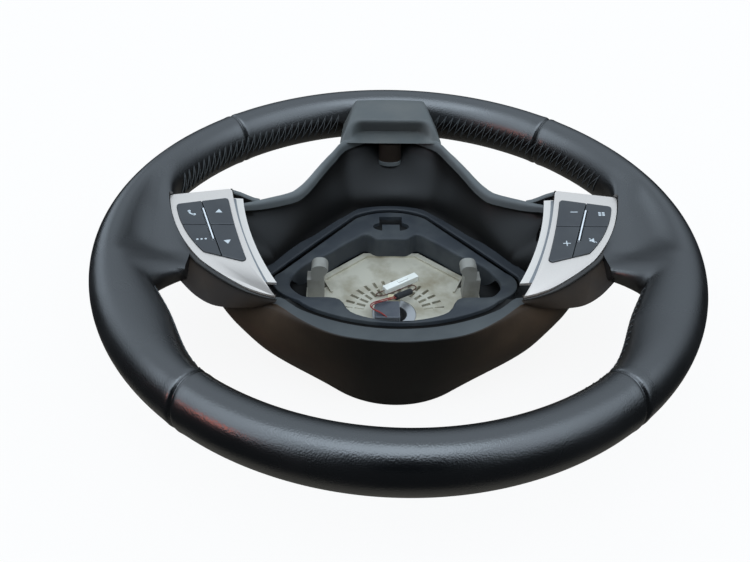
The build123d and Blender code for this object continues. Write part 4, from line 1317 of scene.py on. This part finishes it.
@dataclass
class HubTray:
    """Tray in the bowl, with a smooth opening, soft edges and an oval slot that holds a tongue."""

    opening: tuple[tuple[float, float], ...] = (
        (3.7, -62.4), (11, -62.4), (19, -68), (27, -62), (34, -56), (47, -43), (57, -36), (68.5, -21),
        (70, 1), (65, 18), (58, 29), (39, 31), (29.5, 47.5), (14, 54),
    )
    heights: tuple[tuple[float, float], ...] = ((-100, 40), (-20, 40), (38, 67), (80, 67))
    thickness: float = 3.0
    wall: float = 2.2
    wall_foot: float = 23.6
    wall_end: tuple[float, float] = (-30.0, -15.0)
    outer_ease: float = 0.8
    near_gap: float = 1.6
    near_from: tuple[float, float] = (20.0, 40.0)
    foot_cover: float = 0.2
    tongue_drop: float = 0.4
    inner_ease: float = 1.8
    steps: int = 4
    oval: tuple[float, float, float] = (13.5, 6.2, -77.5)
    slot: tuple[float, float, float] = (17.0, 8.0, -86.0)
    tongue: tuple[float, float, float] = (13.0, 10.0, -75.5)

    def height(self, y: float) -> float:
        """Height of the tray's face."""
        for (y0, z0), (y1, z1) in zip(self.heights, self.heights[1:]):
            if y0 <= y <= y1:
                return z0 + (z1 - z0) * (y - y0) / (y1 - y0)
        raise ValueError(f"no tray at y = {y}")

    def section(self, inner: Vector) -> list[Vector]:
        """Closed section from the tray's outline to a point of its opening."""
        way = inner.normalized()
        outer = way * tray_radius(math.degrees(math.atan2(way.x, way.y)))
        near, full = self.near_from
        outer -= way * self.near_gap * smooth((outer.y - near) / (full - near))
        middle = (inner + outer) / 2
        levels = [self.height(p.y) for p in (inner, middle, outer)]
        depth = 1 - smooth((inner.y - self.wall_end[0]) / (self.wall_end[1] - self.wall_end[0]))
        foot = levels[0] - self.thickness - self.foot_cover
        foot += depth * (self.wall_foot - foot)
        turns = [math.pi / 2 * k / self.steps for k in range(self.steps + 1)]
        ring = [(outer, levels[2] - self.thickness)]
        for t in reversed(turns):
            shift = self.outer_ease * (1 - math.cos(math.pi / 2 - t))
            ring.append((outer - way * shift, levels[2] - self.outer_ease * (1 - math.cos(t))))
        ring.append((middle, levels[1]))
        for t in turns:
            shift = self.inner_ease * (1 - math.sin(t))
            ring.append((inner + way * shift, levels[0] - self.inner_ease * (1 - math.cos(t))))
        ring += [(inner, foot), (inner + way * self.wall, foot)]
        ring += [(inner + way * self.wall, levels[0] - self.thickness), (middle, levels[1] - self.thickness)]
        return [Vector((*p, z)) * MM for p, z in ring]

    def build(self) -> None:
        """Build and dress the tray with its slot."""
        half = [Vector(p) for p in self.opening]
        loop = closed_spline(half + [Vector((-p.x, p.y)) for p in reversed(half)], self.steps)
        sections = [self.section(p) for p in loop]
        size = len(sections[0])
        points = [p for section in sections for p in section]
        tray = mesh_piece("hub_tray", points, ring_faces(len(sections), size, True), 30)
        half_width, half_depth, y = self.oval
        oval = [(half_width * u, y + half_depth * v) for u, v in arc(0, 0, 1, 0, 345, 23)]
        low, high = self.height(y) - 3 * self.thickness, self.height(y) + self.thickness
        cut_away(tray, prism("oval_cutter", oval, low, high))
        width, depth, y = self.slot
        cut_away(tray, prism("slot_cutter", box_outline(0, y, width, depth), low, high))
        tray.data.shade_smooth()
        tray.data.set_sharp_from_angle(angle=math.radians(30))
        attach(tray, WHEEL)
        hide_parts("inner_cover")
        dress(tray, TRAY)
        width, depth, y = self.tongue
        level = self.height(y) - self.tongue_drop
        tongue = prism("tray_tongue", box_outline(0, y, width, depth), level - self.thickness, level)
        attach(tongue, WHEEL)
        dress(tongue, TRAY)


@dataclass
class HubBowl:
    """Rear cover as a smooth bowl, with the tray in it and the screws behind."""

    wall: float = 3.0
    bottom: float = -4.0
    column_radius: float = 40.0
    levels: tuple[float, float, float] = (-4.0, 36.0, 88.0)
    radii: tuple[tuple[float, ...], ...] = (
        (60.0,) * 9,
        (71, 74.5, 84, 100.5, 110, 101.5, 88, 96, 112),
        (79, 80.8, 85.5, 101, 124, 120, 100, 119, 152.2),
    )
    edge: tuple[tuple[float, float], ...] = (
        (-200, 84), (-108, 84), (-70, 77), (-55, 77), (-48, 79), (-43, 64), (34, 65), (56, 68), (200, 68)
    )
    shoulder: tuple[float, float, float] = (164.0, 5.0, 5.5)
    edge_split: float = 100.0
    wing: tuple[tuple[float, float, float], ...] = (
        (93.5, -58.8, 76.2), (97, -58.6, 77.2), (101, -58.4, 79.2), (106, -58.4, 81.8), (112.5, -58.6, 84.0)
    )
    wing_rim: tuple[tuple[float, float], ...] = ((-1.6, -1.2), (-0.4, 0.0), (1.4, -0.4), (2.0, -1.6))
    wing_depth: float = 16.0
    lip_gap: float = 4.4
    lip_end: tuple[float, float] = (62.0, 78.0)
    lip_radii: tuple[float, ...] = (76.0, 77.0, 80.0, 82.3, 86.0, 93.0)
    lip_step: float = 15.0
    lean_depth: float = 40.0
    dust: tuple[float, float] = (12.0, 62.0)
    rolled_from: tuple[float, float] = (108.0, 125.0)
    roll_extra: float = 3.6
    roll_ease: float = 0.6
    edge_steps: int = 4
    edge_search: tuple[float, float, float] = (50.0, 90.0, 0.2)
    tongue_drops: tuple[float, float, float] = (3.4, 3.6, 5.0)
    wall_drop: float = 5.6
    foot_cover: float = 0.5
    ledge_gap: float = 4.2
    ledge_width: tuple[float, float] = (4.0, 8.0)
    ledge_start: float = 98.0
    ledge_rise: float = 30.0
    ledge_blend: float = 14.0
    ledge_narrows: tuple[tuple[float, float], tuple[float, float]] = ((180.0, 30.0), (125.0, 25.0))
    ledge_depth: float = 2.5
    ledge_overlap: float = 2.0
    ledge_ease: float = 0.8
    tray_level: float = 40.0
    catch_size: tuple[float, float] = (8.5, 5.0)
    catch_back: tuple[float, float] = (-136.0, -131.0)
    catch_levels: tuple[float, float, float] = (63.0, 66.0, 81.0)
    catch_step: float = 0.8
    catch_turns: int = 12
    station_deg: float = 2.0
    wall_steps: int = 26
    ease: float = 0.7
    arm_start: float = 66.0
    post_start: float = 27.0
    post_top: tuple[float, float, float] = (49.0, 64.0, 4.9)

    def radius(self, angle: float, height: float) -> float:
        """Outer radius of the bowl at a clock angle and a height."""
        place = abs(angle) / 180 * (len(self.radii[0]) - 1)
        total = 0.0
        for own, ring in zip(self.levels, self.radii):
            share = 1.0
            for other in self.levels:
                if other != own:
                    share *= (height - other) / (own - other)
            total += share * spline_through(ring, place)
        middle, spread, extra = self.shoulder
        bump = math.exp(-(((abs(angle) - middle) / spread) ** 2))
        return total + extra * bump * smooth((height - self.levels[1]) / (self.edge[0][1] - self.levels[1]))

    def edge_height(self, angle: float) -> float:
        """Height of the bowl's upper edge at a clock angle."""
        height, highest, step = self.edge_search
        while height < highest:
            y = self.radius(angle, height) * math.cos(math.radians(angle))
            for (y0, z0), (y1, z1) in zip(self.edge, self.edge[1:]):
                if y0 <= y <= y1:
                    limit = z0 + (z1 - z0) * (y - y0) / (y1 - y0)
            if height >= limit:
                break
            height += step
        return height

    def lip_radius(self, angle: float, widest: float) -> float:
        """Radius at which the flat lip ends and the wall's shoulder starts to fall away."""
        place = abs(angle) / self.lip_step
        last = len(self.lip_radii) - 1
        own = spline_through(self.lip_radii, min(place, last))
        return min(own + (widest - own) * smooth(place - last + 1), widest)

    def ledge_radii(self, angle: float) -> tuple[float, float]:
        """Inner and outer radius of the tray's ledge at a clock angle."""
        own = abs(angle)
        inner = tray_radius(angle) + self.ledge_gap
        narrow, wide = self.ledge_width
        (far, far_blend), (side, side_blend) = self.ledge_narrows
        share = smooth((far - own) / far_blend) * (1 - smooth((side - own) / side_blend) / 2)
        return inner, inner + narrow + (wide - narrow) * share

    def inner_radius(self, angle: float, height: float, top: float) -> float:
        """Radius of the wall's inner face, which sweeps in to the ledge on the far side."""
        wall = min(self.radius(angle, height), self.radius(angle, top)) - self.wall
        edge = min(self.ledge_radii(angle)[1], wall)
        share = smooth((height - self.tray_level) / self.ledge_rise)
        swept = edge + (wall - edge) * share
        return wall + (swept - wall) * smooth((abs(angle) - self.ledge_start) / self.ledge_blend)

    def profile(self, angle: float) -> list[tuple[float, float]]:
        """Closed section of the shell at a clock angle, as radius and height."""
        top, foot = self.edge_height(angle), self.bottom
        outer_top = self.radius(angle, top)
        far = smooth((abs(angle) - self.rolled_from[0]) / (self.rolled_from[1] - self.rolled_from[0]))
        wall_inside = outer_top - self.wall - far * self.roll_extra
        near = 1 - smooth((abs(angle) - self.lip_end[0]) / (self.lip_end[1] - self.lip_end[0]))
        tray = tray_radius(angle)
        inside = wall_inside + near * (min(tray + self.lip_gap, wall_inside) - wall_inside)
        tongue = wall_inside + near * (min(tray - self.lip_gap, wall_inside) - wall_inside)
        ease = self.ease + far * (self.roll_extra / 2 + self.roll_ease)
        steps = [k / self.wall_steps for k in range(self.wall_steps + 1)]
        lean = outer_top - max(self.lip_radius(angle, outer_top), inside + 2 * ease)
        outer = [foot + self.ease + k * (top - foot - self.ease - ease) for k in steps]
        shell = [(self.column_radius, foot), (self.radius(angle, foot) - self.ease, foot)]
        for z in outer:
            leant = lean * max(1 - (top - z) / self.lean_depth, 0.0) ** 2
            shell.append((self.radius(angle, z) - leant, z))
        turns = [math.pi / 2 * k / self.edge_steps for k in range(1, self.edge_steps + 1)]
        outer_top -= lean
        shell += [(outer_top - ease * (1 - math.cos(t)), top - ease * (1 - math.sin(t))) for t in turns]
        shell += [(inside + ease * (1 - math.sin(t)), top - ease * (1 - math.cos(t))) for t in turns]
        shell += [(r, top - ease - drop) for r, drop in zip((inside, tongue, tongue), self.tongue_drops)]
        low = top - ease - self.wall_drop
        inner = [low - k * (low - foot - self.wall - self.foot_cover) for k in steps]
        for z in inner:
            leant = lean * max(1 - (top - z) / self.lean_depth, 0.0) ** 2
            shell.append((self.inner_radius(angle, z, top) - leant, z))
        return shell + [(self.column_radius, foot + self.wall)]

    def shell(self) -> None:
        """Bowl with its lip, as one closed mesh, with the upper edge painted paler: painted light from
        above.
        """
        count = round(360 / self.station_deg)
        points: list[Vector] = []
        for k in range(count):
            angle = -180 + k * self.station_deg
            a = math.radians(angle)
            points += [Vector((r * math.sin(a), r * math.cos(a), z)) * MM for r, z in self.profile(angle)]
        size = len(points) // count
        bowl = mesh_piece("hub_bowl", points, ring_faces(count, size, True), 35)
        for finish in (COVER, COVER_EDGE_LIT, LIP_LIT):
            bowl.data.materials.append(finish.material())
        first = self.wall_steps + 2
        brow, last = first + self.edge_steps - 1, first + 2 * self.edge_steps + 1
        wear_and_light = bowl.data.attributes.new("edge_wear", "FLOAT", "FACE").data
        for n, face in enumerate(bowl.data.polygons):
            row, angle = n % size, abs((n // size + 0.5) * self.station_deg - 180)
            # Upper edge rows are painted paler where light from above falls: the far rows in one grey, the
            # near lip's top in another
            if angle > self.edge_split:
                face.material_index = int(first <= row < last)
            elif angle < self.lip_end[1]:
                face.material_index = 2 * int(brow < row < last)
            # The outer wall takes the worn tint in patches, none on the near side and in full from the sides
            # on
            if row <= brow:
                wear_and_light[n].value = smooth((angle - self.dust[0]) / (self.dust[1] - self.dust[0]))
        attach(bowl, WHEEL)
        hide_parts("rear_cover")
        LOG.info("%s: %d sections", bowl.name, count)

    def ledge(self) -> None:
        """Ledge of the bowl round the far side of the tray, a dark gap away from it."""
        level, step = self.tray_level, self.station_deg
        points: list[Vector] = []
        angles = [self.ledge_start + k * step for k in range(int((360 - 2 * self.ledge_start) / step) + 1)]
        for angle in angles:
            a = math.radians(angle)
            inner, outer = self.ledge_radii(angle if angle <= 180 else angle - 360)
            outer += self.ledge_overlap
            section = [(inner, level - self.ledge_depth), (outer, level - self.ledge_depth), (outer, level)]
            section += [(inner + self.ledge_ease, level), (inner, level - self.ledge_ease)]
            points += [Vector((r * math.sin(a), r * math.cos(a), z)) * MM for r, z in section]
        ledge = mesh_piece("tray_ledge", points, tube_faces(len(angles), len(points) // len(angles)), 30)
        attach(ledge, WHEEL)
        dress(ledge, LEDGE)

    def wings(self) -> None:
        """Walls that carry the bowl's edge up to the bezels' far corners."""
        for side in Side:
            points: list[Vector] = []
            for x, y, z in self.wing:
                rim = [(y + dy, z + dz) for dy, dz in self.wing_rim]
                rim += [(rim[-1][0], z - self.wing_depth), (rim[0][0], z - self.wing_depth)]
                points += [Vector((side.value * x, a, b)) * MM for a, b in rim]
            size = len(points) // len(self.wing)
            faces = tube_faces(len(self.wing), size)
            wing = mesh_piece(f"{side.prefix}_bowl_wing", points, faces, 50)
            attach(wing, WHEEL)
            dress(wing, COVER)
            # The wing's rim is painted pale like the bowl's upper edge: painted light from above
            wing.data.materials.append(COVER_EDGE_LIT.material())
            for n, face in enumerate(wing.data.polygons):
                face.material_index = int(n % size < len(self.wing_rim) - 1 and n < len(faces) - 2)

    def catch(self) -> None:
        """Rounded catch on the far wall under the trim, with its foot painted pale like the bowl's lit upper
        edge.
        """
        (width, depth), (back, front) = self.catch_size, self.catch_back
        low, step, high = self.catch_levels
        turns = [math.pi * k / self.catch_turns for k in range(self.catch_turns + 1)]
        outline = [(width, back)]
        outline += [(width * math.cos(a), front + depth * math.sin(a)) for a in turns]
        outline += [(-width, back)]
        foot = [(x, y + self.catch_step * (y > back)) for x, y in outline]
        for name, plan, levels, finish in (
            ("cover_catch", outline, (step, high), SKIRT),
            ("cover_catch_foot", foot, (low, step), COVER_EDGE_LIT),
        ):
            piece = prism(name, plan, *levels)
            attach(piece, WHEEL)
            dress(piece, finish)

    def build(self) -> None:
        """Build and dress the covers."""
        self.shell()
        self.ledge()
        self.wings()
        self.catch()
        HubTray().build()
        dress(eased_copy("rear_cover_screws", "cover_screws", 0.3), SCREW)
        BottomTrim().build()
        hub = eased_copy("armature", "cast_hub", 0.5, 2, self.post_top)
        dress(hub, CAST)
        hub.data.materials.append(FOAM_SHADE.material())
        hub.data.materials.append(POST.material())
        # Arm faces beyond the tray get the dark arm finish: painted shade, taken as foam
        for face in hub.data.polygons:
            if abs(face.center.x) > self.arm_start * MM:
                face.material_index = 1
            elif face.center.z > self.post_start * MM:
                face.material_index = 2
        dress(eased_copy("hub_bush", "column_bush", 0.6, 3), BUSH)


@dataclass
class BottomTrim:
    """Smooth cap between the rear cover's tongue and the rim, with a recess under its arched edge."""

    half_width: float = 38.5
    back: float = -170.0
    base: float = 83.2
    cap: tuple[tuple[float, float], ...] = (
        (-170, 98.8), (-164, 99.2), (-157, 99.3), (-150, 99.0), (-144, 98.5), (-140, 97.9)
    )
    recess: tuple[tuple[float, float], ...] = (
        (-137.6, 97.0), (-136.5, 95.6), (-136.7, 94.2), (-138.2, 91.6), (-139.8, 88.6), (-141.4, 85.6),
        (-142.0, 84.4), (-140.6, 84.0), (-136, 83.9), (-131, 83.7), (-127, 83.3), (-125.3, 82.4),
        (-125, 81.3),
    )
    flange: tuple[tuple[float, float], ...] = (
        (-137.8, 97.1), (-136.0, 95.8), (-134.4, 94.2), (-133.1, 92.5), (-131.9, 90.8), (-130.8, 89.1),
        (-129.8, 87.5), (-128.9, 86.1), (-128.0, 84.8), (-127.2, 83.6), (-126.4, 82.6), (-125.6, 81.8),
        (-125, 81.3),
    )
    arch: tuple[float, float] = (22.0, 31.0)
    front: float = -124.5
    taper: float = 0.9
    shoulder: tuple[float, float] = (0.82, 0.74)
    side_rise: float = 17.0
    edge_thickness: float = 0.2
    foot: tuple[float, ...] = (-126, -140, -155, -170)
    ease: float = 2.4
    stations: int = 44

    def side_height(self, share: float, y: float) -> float:
        """Height of the slanted side at a share of the half width: steep where the trim ends."""
        way = min(max((y - self.front) / (self.back - self.front), 0.0), 1.0)
        shoulder = self.shoulder[0] + way * (self.shoulder[1] - self.shoulder[0])
        return self.base + self.side_rise * (1 - abs(share)) / (1 - shoulder)

    def section(self, x: float) -> list[Vector]:
        """Closed section of the trim at a distance from the middle."""
        share = smooth((abs(x) - self.arch[0]) / (self.arch[1] - self.arch[0]))
        row = list(self.cap)
        for (y, z), (far_y, far_z) in zip(self.recess, self.flange):
            row.append((y + share * (far_y - y), z + share * (far_z - z)))
        section = []
        for y, z in row:
            limit = self.side_height(x / self.half_width, y)
            gap = max(self.ease - abs(limit - z), 0.0) / self.ease
            eased = min(z, limit) - gap * gap * self.ease / 4
            section.append((y, max(eased, self.base + self.edge_thickness)))
        section += [(y, self.base) for y in self.foot]
        narrowing = (1 - self.taper) / (self.back - self.front)
        return [Vector((x * (1 - narrowing * (y - self.front)), y, z)) for y, z in section]

    def build(self) -> None:
        """Build and dress the trim."""
        turns = [math.pi / 2 * (k / self.stations * 2 - 1) for k in range(self.stations + 1)]
        places = [self.half_width * math.sin(turn) for turn in turns]
        sections = [self.section(x) for x in places]
        size = len(sections[0])
        points = [p * MM for section in sections for p in section]
        piece = mesh_piece("lower_trim", points, tube_faces(self.stations + 1, size), 50)
        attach(piece, WHEEL)
        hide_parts("bottom_spoke_trim")
        dress(piece, TRIM)


# Horn lead


@dataclass
class HornLead:
    """Plug on the hub, two thin wires, a taped sleeve, an inline connector and its loose latch."""

    plate: float = 22.0
    wire_radius: float = 0.4
    pair_gap: float = 0.75
    pair_way: tuple[float, float, float] = (0.6, -0.8, 0.0)
    red_route: tuple[tuple[float, float, float], ...] = (
        (6.0, 11.4, 7.6), (8.6, 10.2, 9.8), (16.2, 5.4, 9.6), (15.6, 0.6, 9.8), (7.5, -2.2, 10.4),
        (-0.8, -6.8, 9.1),
    )
    brown_route: tuple[tuple[float, float, float], ...] = (
        (-12.4, -18.2, 4.9), (-16, -23, 2.8), (-16.8, -27.4, 1.6), (-13.6, -29.6, 1.6), (-4.8, -23.8, 1.6),
        (6.5, -17.2, 1.6), (11.5, -16.8, 1.6), (12.6, -19.4, 1.6), (6.25, -21.8, 2.4),
    )
    red_length: float = 34.0
    brown_length: float = 52.0

    def wire(self, name: str, route: Sequence[Sequence[float]], shift: Vector) -> bpy.types.Object:
        """Round wire along a route.

        Args:
            name: Name of the piece.
            route: Points over the hub plate, in millimetres.
            shift: Offset of the whole wire, in millimetres.

        Returns:
            The curve object.
        """
        curve = bpy.data.curves.new(name, "CURVE")
        curve.dimensions = "3D"
        curve.bevel_depth = 1.0
        curve.bevel_resolution = 3
        curve.resolution_u = 10
        curve.use_fill_caps = True
        spline = curve.splines.new("NURBS")
        spline.points.add(len(route) - 1)
        for point, (x, y, z) in zip(spline.points, route):
            point.co = (*((Vector((x, y, z + self.plate)) + shift) * MM), 1.0)
            # The radius is on the points, as a curve's box takes it from there
            point.radius = self.wire_radius * MM
        spline.order_u = 3
        spline.use_endpoint_u = True
        piece = bpy.data.objects.new(name, curve)
        bpy.context.scene.collection.objects.link(piece)
        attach(piece, WHEEL)
        return piece

    def build(self) -> None:
        """Build and dress the lead."""
        dress(eased_copy("hub_plug", "horn_plug", 0.8, 3), PLUG)
        sleeve = eased_copy("lead_sleeve", "taped_sleeve", 0.5, 3)
        dress(sleeve, TAPE)
        connector = eased_copy("lead_connector", "inline_connector", 0.35)
        dress(connector, CONNECTOR)
        dress(eased_copy("connector_latch", "loose_latch", 0.3), LATCH)
        for name, sign in (("red_wire_front", 1), ("red_wire_back", -1)):
            shift = Vector(self.pair_way) * sign * self.pair_gap
            wire = self.wire(name, self.red_route, shift)
            dress(wire, RED_WIRE)
            if sign > 0:
                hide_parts("red_lead")
        brown = self.wire("brown_wire", self.brown_route, Vector((0, 0, 0)))
        dress(brown, BROWN_WIRE)
        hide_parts("brown_lead")


# Studio


@dataclass
class Studio:
    """Pale floor, soft surroundings, one warm lamp and the photograph's camera."""

    eye: tuple[float, float, float] = (28.67, 404.236, 383.537)
    look: tuple[float, float, float] = (-0.028551, -0.771984, -0.635)
    up: tuple[float, float, float] = (0.003501, -0.635333, 0.772231)
    focal_pixels: float = 791.2465
    floor_size: float = 12.0
    floor_glow: float = 0.9
    floor_tone: str = "#e4e4e2"
    sheet_edge: tuple[float, float] = (0.265, 0.215)
    sheet_tones: tuple[str, str] = ("#2b2a29", "#7a7166")
    sky_tint: str = "#e0f0ff"
    sky_rise: tuple[float, float] = (-0.25, 0.9)
    sky_strength: float = 1.0
    glows: tuple[tuple[float, float, float, float, float], ...] = (
        (6.0, 66.0, 30.0, 4.0, 1.9), (60.0, 38.0, 40.0, 6.0, 1.1), (-60.0, 42.0, 40.0, 6.0, 0.9),
        (130.0, 8.0, 32.0, 6.0, 0.8),
    )
    shade: tuple[float, float, float, float] = (0.0, 12.0, 36.0, 14.0)
    warm_place: tuple[float, float, float] = (1.11, 0.74, 0.28)
    warm_aim: tuple[float, float, float] = (0.09, 0.15, 0.084)
    warm_size: tuple[float, float] = (0.34, 0.07)
    warm_glow: float = 7.0
    warm_tint: str = "#ff6a26"

    def camera(self) -> None:
        """Camera where the photograph was taken from."""
        look = Vector(self.look).normalized()
        right = look.cross(Vector(self.up)).normalized()
        up = right.cross(look)
        lens = bpy.data.cameras.new("photo_camera")
        lens.sensor_fit = "HORIZONTAL"
        lens.sensor_width = SENSOR_WIDTH
        lens.lens = self.focal_pixels / IMAGE_WIDTH * SENSOR_WIDTH
        lens.clip_start = 0.01
        camera = bpy.data.objects.new("photo_camera", lens)
        matrix = Matrix((right, up, -look)).transposed().to_4x4()
        matrix.translation = Vector(self.eye) * MM
        camera.matrix_world = matrix
        bpy.context.scene.collection.objects.link(camera)
        bpy.context.scene.camera = camera

    def floor(self) -> None:
        """Pale floor that the camera sees nearly white and that keeps the wheel's shadow."""
        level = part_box("rear_cover")[0].z
        half = self.floor_size / 2
        corners = [(x, y, level) for x, y in ((-half, -half), (half, -half), (half, half), (-half, half))]
        mesh = bpy.data.meshes.new("floor")
        mesh.from_pydata(corners, [], [(0, 1, 2, 3)])
        floor = link_mesh("floor", mesh)
        material = bpy.data.materials.new("studio_floor")
        material.use_nodes = True
        tree = material.node_tree
        tree.nodes.clear()
        rays = add_node(tree, "ShaderNodeLightPath").outputs
        place = add_node(tree, "ShaderNodeTexCoord").outputs["Object"]
        reach = add_node(tree, "ShaderNodeVectorMath", links={0: place}, operation="LENGTH")
        sheet = add_node(
            tree, "ShaderNodeMapRange", {"From Min": self.sheet_edge[0], "From Max": self.sheet_edge[1]},
            {"Value": reach.outputs["Value"]}, interpolation_type="SMOOTHSTEP",
        )
        ground = add_node(
            tree, "ShaderNodeMix", {6: linear(self.sheet_tones[0]), 7: linear(self.sheet_tones[1])},
            {0: sheet.outputs["Result"]}, data_type="RGBA",
        )
        tone = add_node(
            tree, "ShaderNodeMix", {7: linear(self.floor_tone)},
            {0: rays["Is Camera Ray"], 6: ground.outputs[2]}, data_type="RGBA",
        )
        paper = add_node(tree, "ShaderNodeBsdfDiffuse", links={"Color": tone.outputs[2]})
        glow = add_node(tree, "ShaderNodeEmission", {"Color": (1, 1, 1, 1), "Strength": 1.0})
        bright = add_node(
            tree, "ShaderNodeMixShader", {0: self.floor_glow}, {1: paper.outputs[0], 2: glow.outputs[0]}
        )
        seen = add_node(
            tree, "ShaderNodeMixShader",
            links={0: rays["Is Camera Ray"], 1: paper.outputs[0], 2: bright.outputs[0]},
        )
        add_node(tree, "ShaderNodeOutputMaterial", links={"Surface": seen.outputs[0]})
        mesh.materials.append(material)

    def patch(
        self,
        tree: bpy.types.NodeTree,
        way: bpy.types.NodeSocket,
        place: tuple[float, float],
        edges: tuple[float, float],
    ) -> bpy.types.NodeSocket:
        """Soft round patch of the surroundings.

        Args:
            tree: World's node tree.
            way: Direction that is looked at.
            place: Azimuth, from behind the camera towards +X, and elevation of the middle, in degrees.
            edges: Angles from the middle where the patch ends and where it is full, in degrees.

        Returns:
            Share of the patch, from 0 to 1.
        """
        azimuth, elevation = (math.radians(angle) for angle in place)
        flat = math.cos(elevation)
        middle = (math.sin(azimuth) * flat, math.cos(azimuth) * flat, math.sin(elevation))
        facing = add_node(tree, "ShaderNodeVectorMath", {1: middle}, {0: way}, operation="DOT_PRODUCT")
        end, full = (math.cos(math.radians(angle)) for angle in edges)
        share = add_node(
            tree, "ShaderNodeMapRange", {"From Min": end, "From Max": full},
            {"Value": facing.outputs["Value"]}, interpolation_type="SMOOTHSTEP",
        )
        return share.outputs["Result"]

    def world(self) -> None:
        """Overcast surroundings, dark where the photographer stands, that the camera sees as white."""
        world = bpy.data.worlds.new("studio")
        world.use_nodes = True
        tree = world.node_tree
        tree.nodes.clear()
        rays = add_node(tree, "ShaderNodeLightPath").outputs
        way = add_node(tree, "ShaderNodeTexCoord").outputs["Generated"]
        height = add_node(tree, "ShaderNodeSeparateXYZ", links={0: way}).outputs["Z"]
        sky = add_node(
            tree, "ShaderNodeMapRange",
            {"From Min": self.sky_rise[0], "From Max": self.sky_rise[1], "To Max": self.sky_strength},
            {"Value": height}, interpolation_type="SMOOTHSTEP",
        ).outputs["Result"]
        for azimuth, elevation, end, full, strength in self.glows:
            share = self.patch(tree, way, (azimuth, elevation), (end, full))
            sky = add_node(
                tree, "ShaderNodeMath", {1: strength}, {0: share, 2: sky}, operation="MULTIPLY_ADD"
            ).outputs[0]
        shade = self.patch(tree, way, self.shade[:2], self.shade[2:])
        clear = add_node(tree, "ShaderNodeMath", {0: 1.0}, {1: shade}, operation="SUBTRACT")
        sky = add_node(
            tree, "ShaderNodeMath", links={0: sky, 1: clear.outputs[0]}, operation="MULTIPLY"
        ).outputs[0]
        room = add_node(tree, "ShaderNodeBackground", {"Color": linear(self.sky_tint)}, {"Strength": sky})
        white = add_node(tree, "ShaderNodeBackground", {"Color": (1, 1, 1, 1), "Strength": 1.0})
        seen = add_node(
            tree, "ShaderNodeMixShader",
            links={0: rays["Is Camera Ray"], 1: room.outputs[0], 2: white.outputs[0]},
        )
        add_node(tree, "ShaderNodeOutputWorld", links={"Surface": seen.outputs[0]})
        bpy.context.scene.world = world

    def warm_lamp(self) -> None:
        """Low warm soft box that the front of the rim reflects, with an even brightness."""
        light = bpy.data.lights.new("warm_box", "AREA")
        light.shape = "RECTANGLE"
        light.size, light.size_y = self.warm_size
        light.energy = self.warm_glow * math.pi * self.warm_size[0] * self.warm_size[1]
        light.color = linear(self.warm_tint)[:3]
        lamp = bpy.data.objects.new("warm_box", light)
        way = Vector(self.warm_aim) - Vector(self.warm_place)
        turn = way.to_track_quat("-Z", "Y").to_matrix().to_4x4()
        lamp.matrix_world = Matrix.Translation(self.warm_place) @ turn
        bpy.context.scene.collection.objects.link(lamp)

    def build(self) -> None:
        """Set up camera, floor, surroundings and lamp."""
        self.camera()
        self.floor()
        self.world()
        self.warm_lamp()
        bpy.context.scene.view_settings.view_transform = "Standard"


def main() -> None:
    """Build every sub-assembly in order."""
    logging.basicConfig(level=logging.INFO, format="%(name)s: %(message)s")
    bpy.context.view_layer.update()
    Studio().build()
    HornLead().build()
    grip = LeatherGrip()
    grip.build()
    RimLacing(grip).build()
    SwitchSpoke(
        Side.RIGHT,
        {
            "right_key_phone": (Sign.HANDSET, -17.3, 17.8, 6.0),
            "right_key_down": (Sign.ARROW_DOWN, -34.2, 14.5, 6.0),
            "right_key_source": (Sign.DOTS, -26.8, 43.1, 10.0),
            "right_key_up": (Sign.ARROW_UP, -43.2, 44.0, 16.0),
        },
    ).build()
    SwitchSpoke(
        Side.LEFT,
        {
            "left_key_menu": (Sign.GRID, -14.1, 17.4, 4.0),
            "left_key_minus": (Sign.MINUS, -31.6, 13.8, 4.0),
            "left_key_mute": (Sign.SPEAKER, -25.2, 42.9, 4.0),
            "left_key_plus": (Sign.PLUS, -42.1, 44.2, 4.0),
        },
    ).build()
    HubBowl().build()


if __name__ == "__main__":
    main()
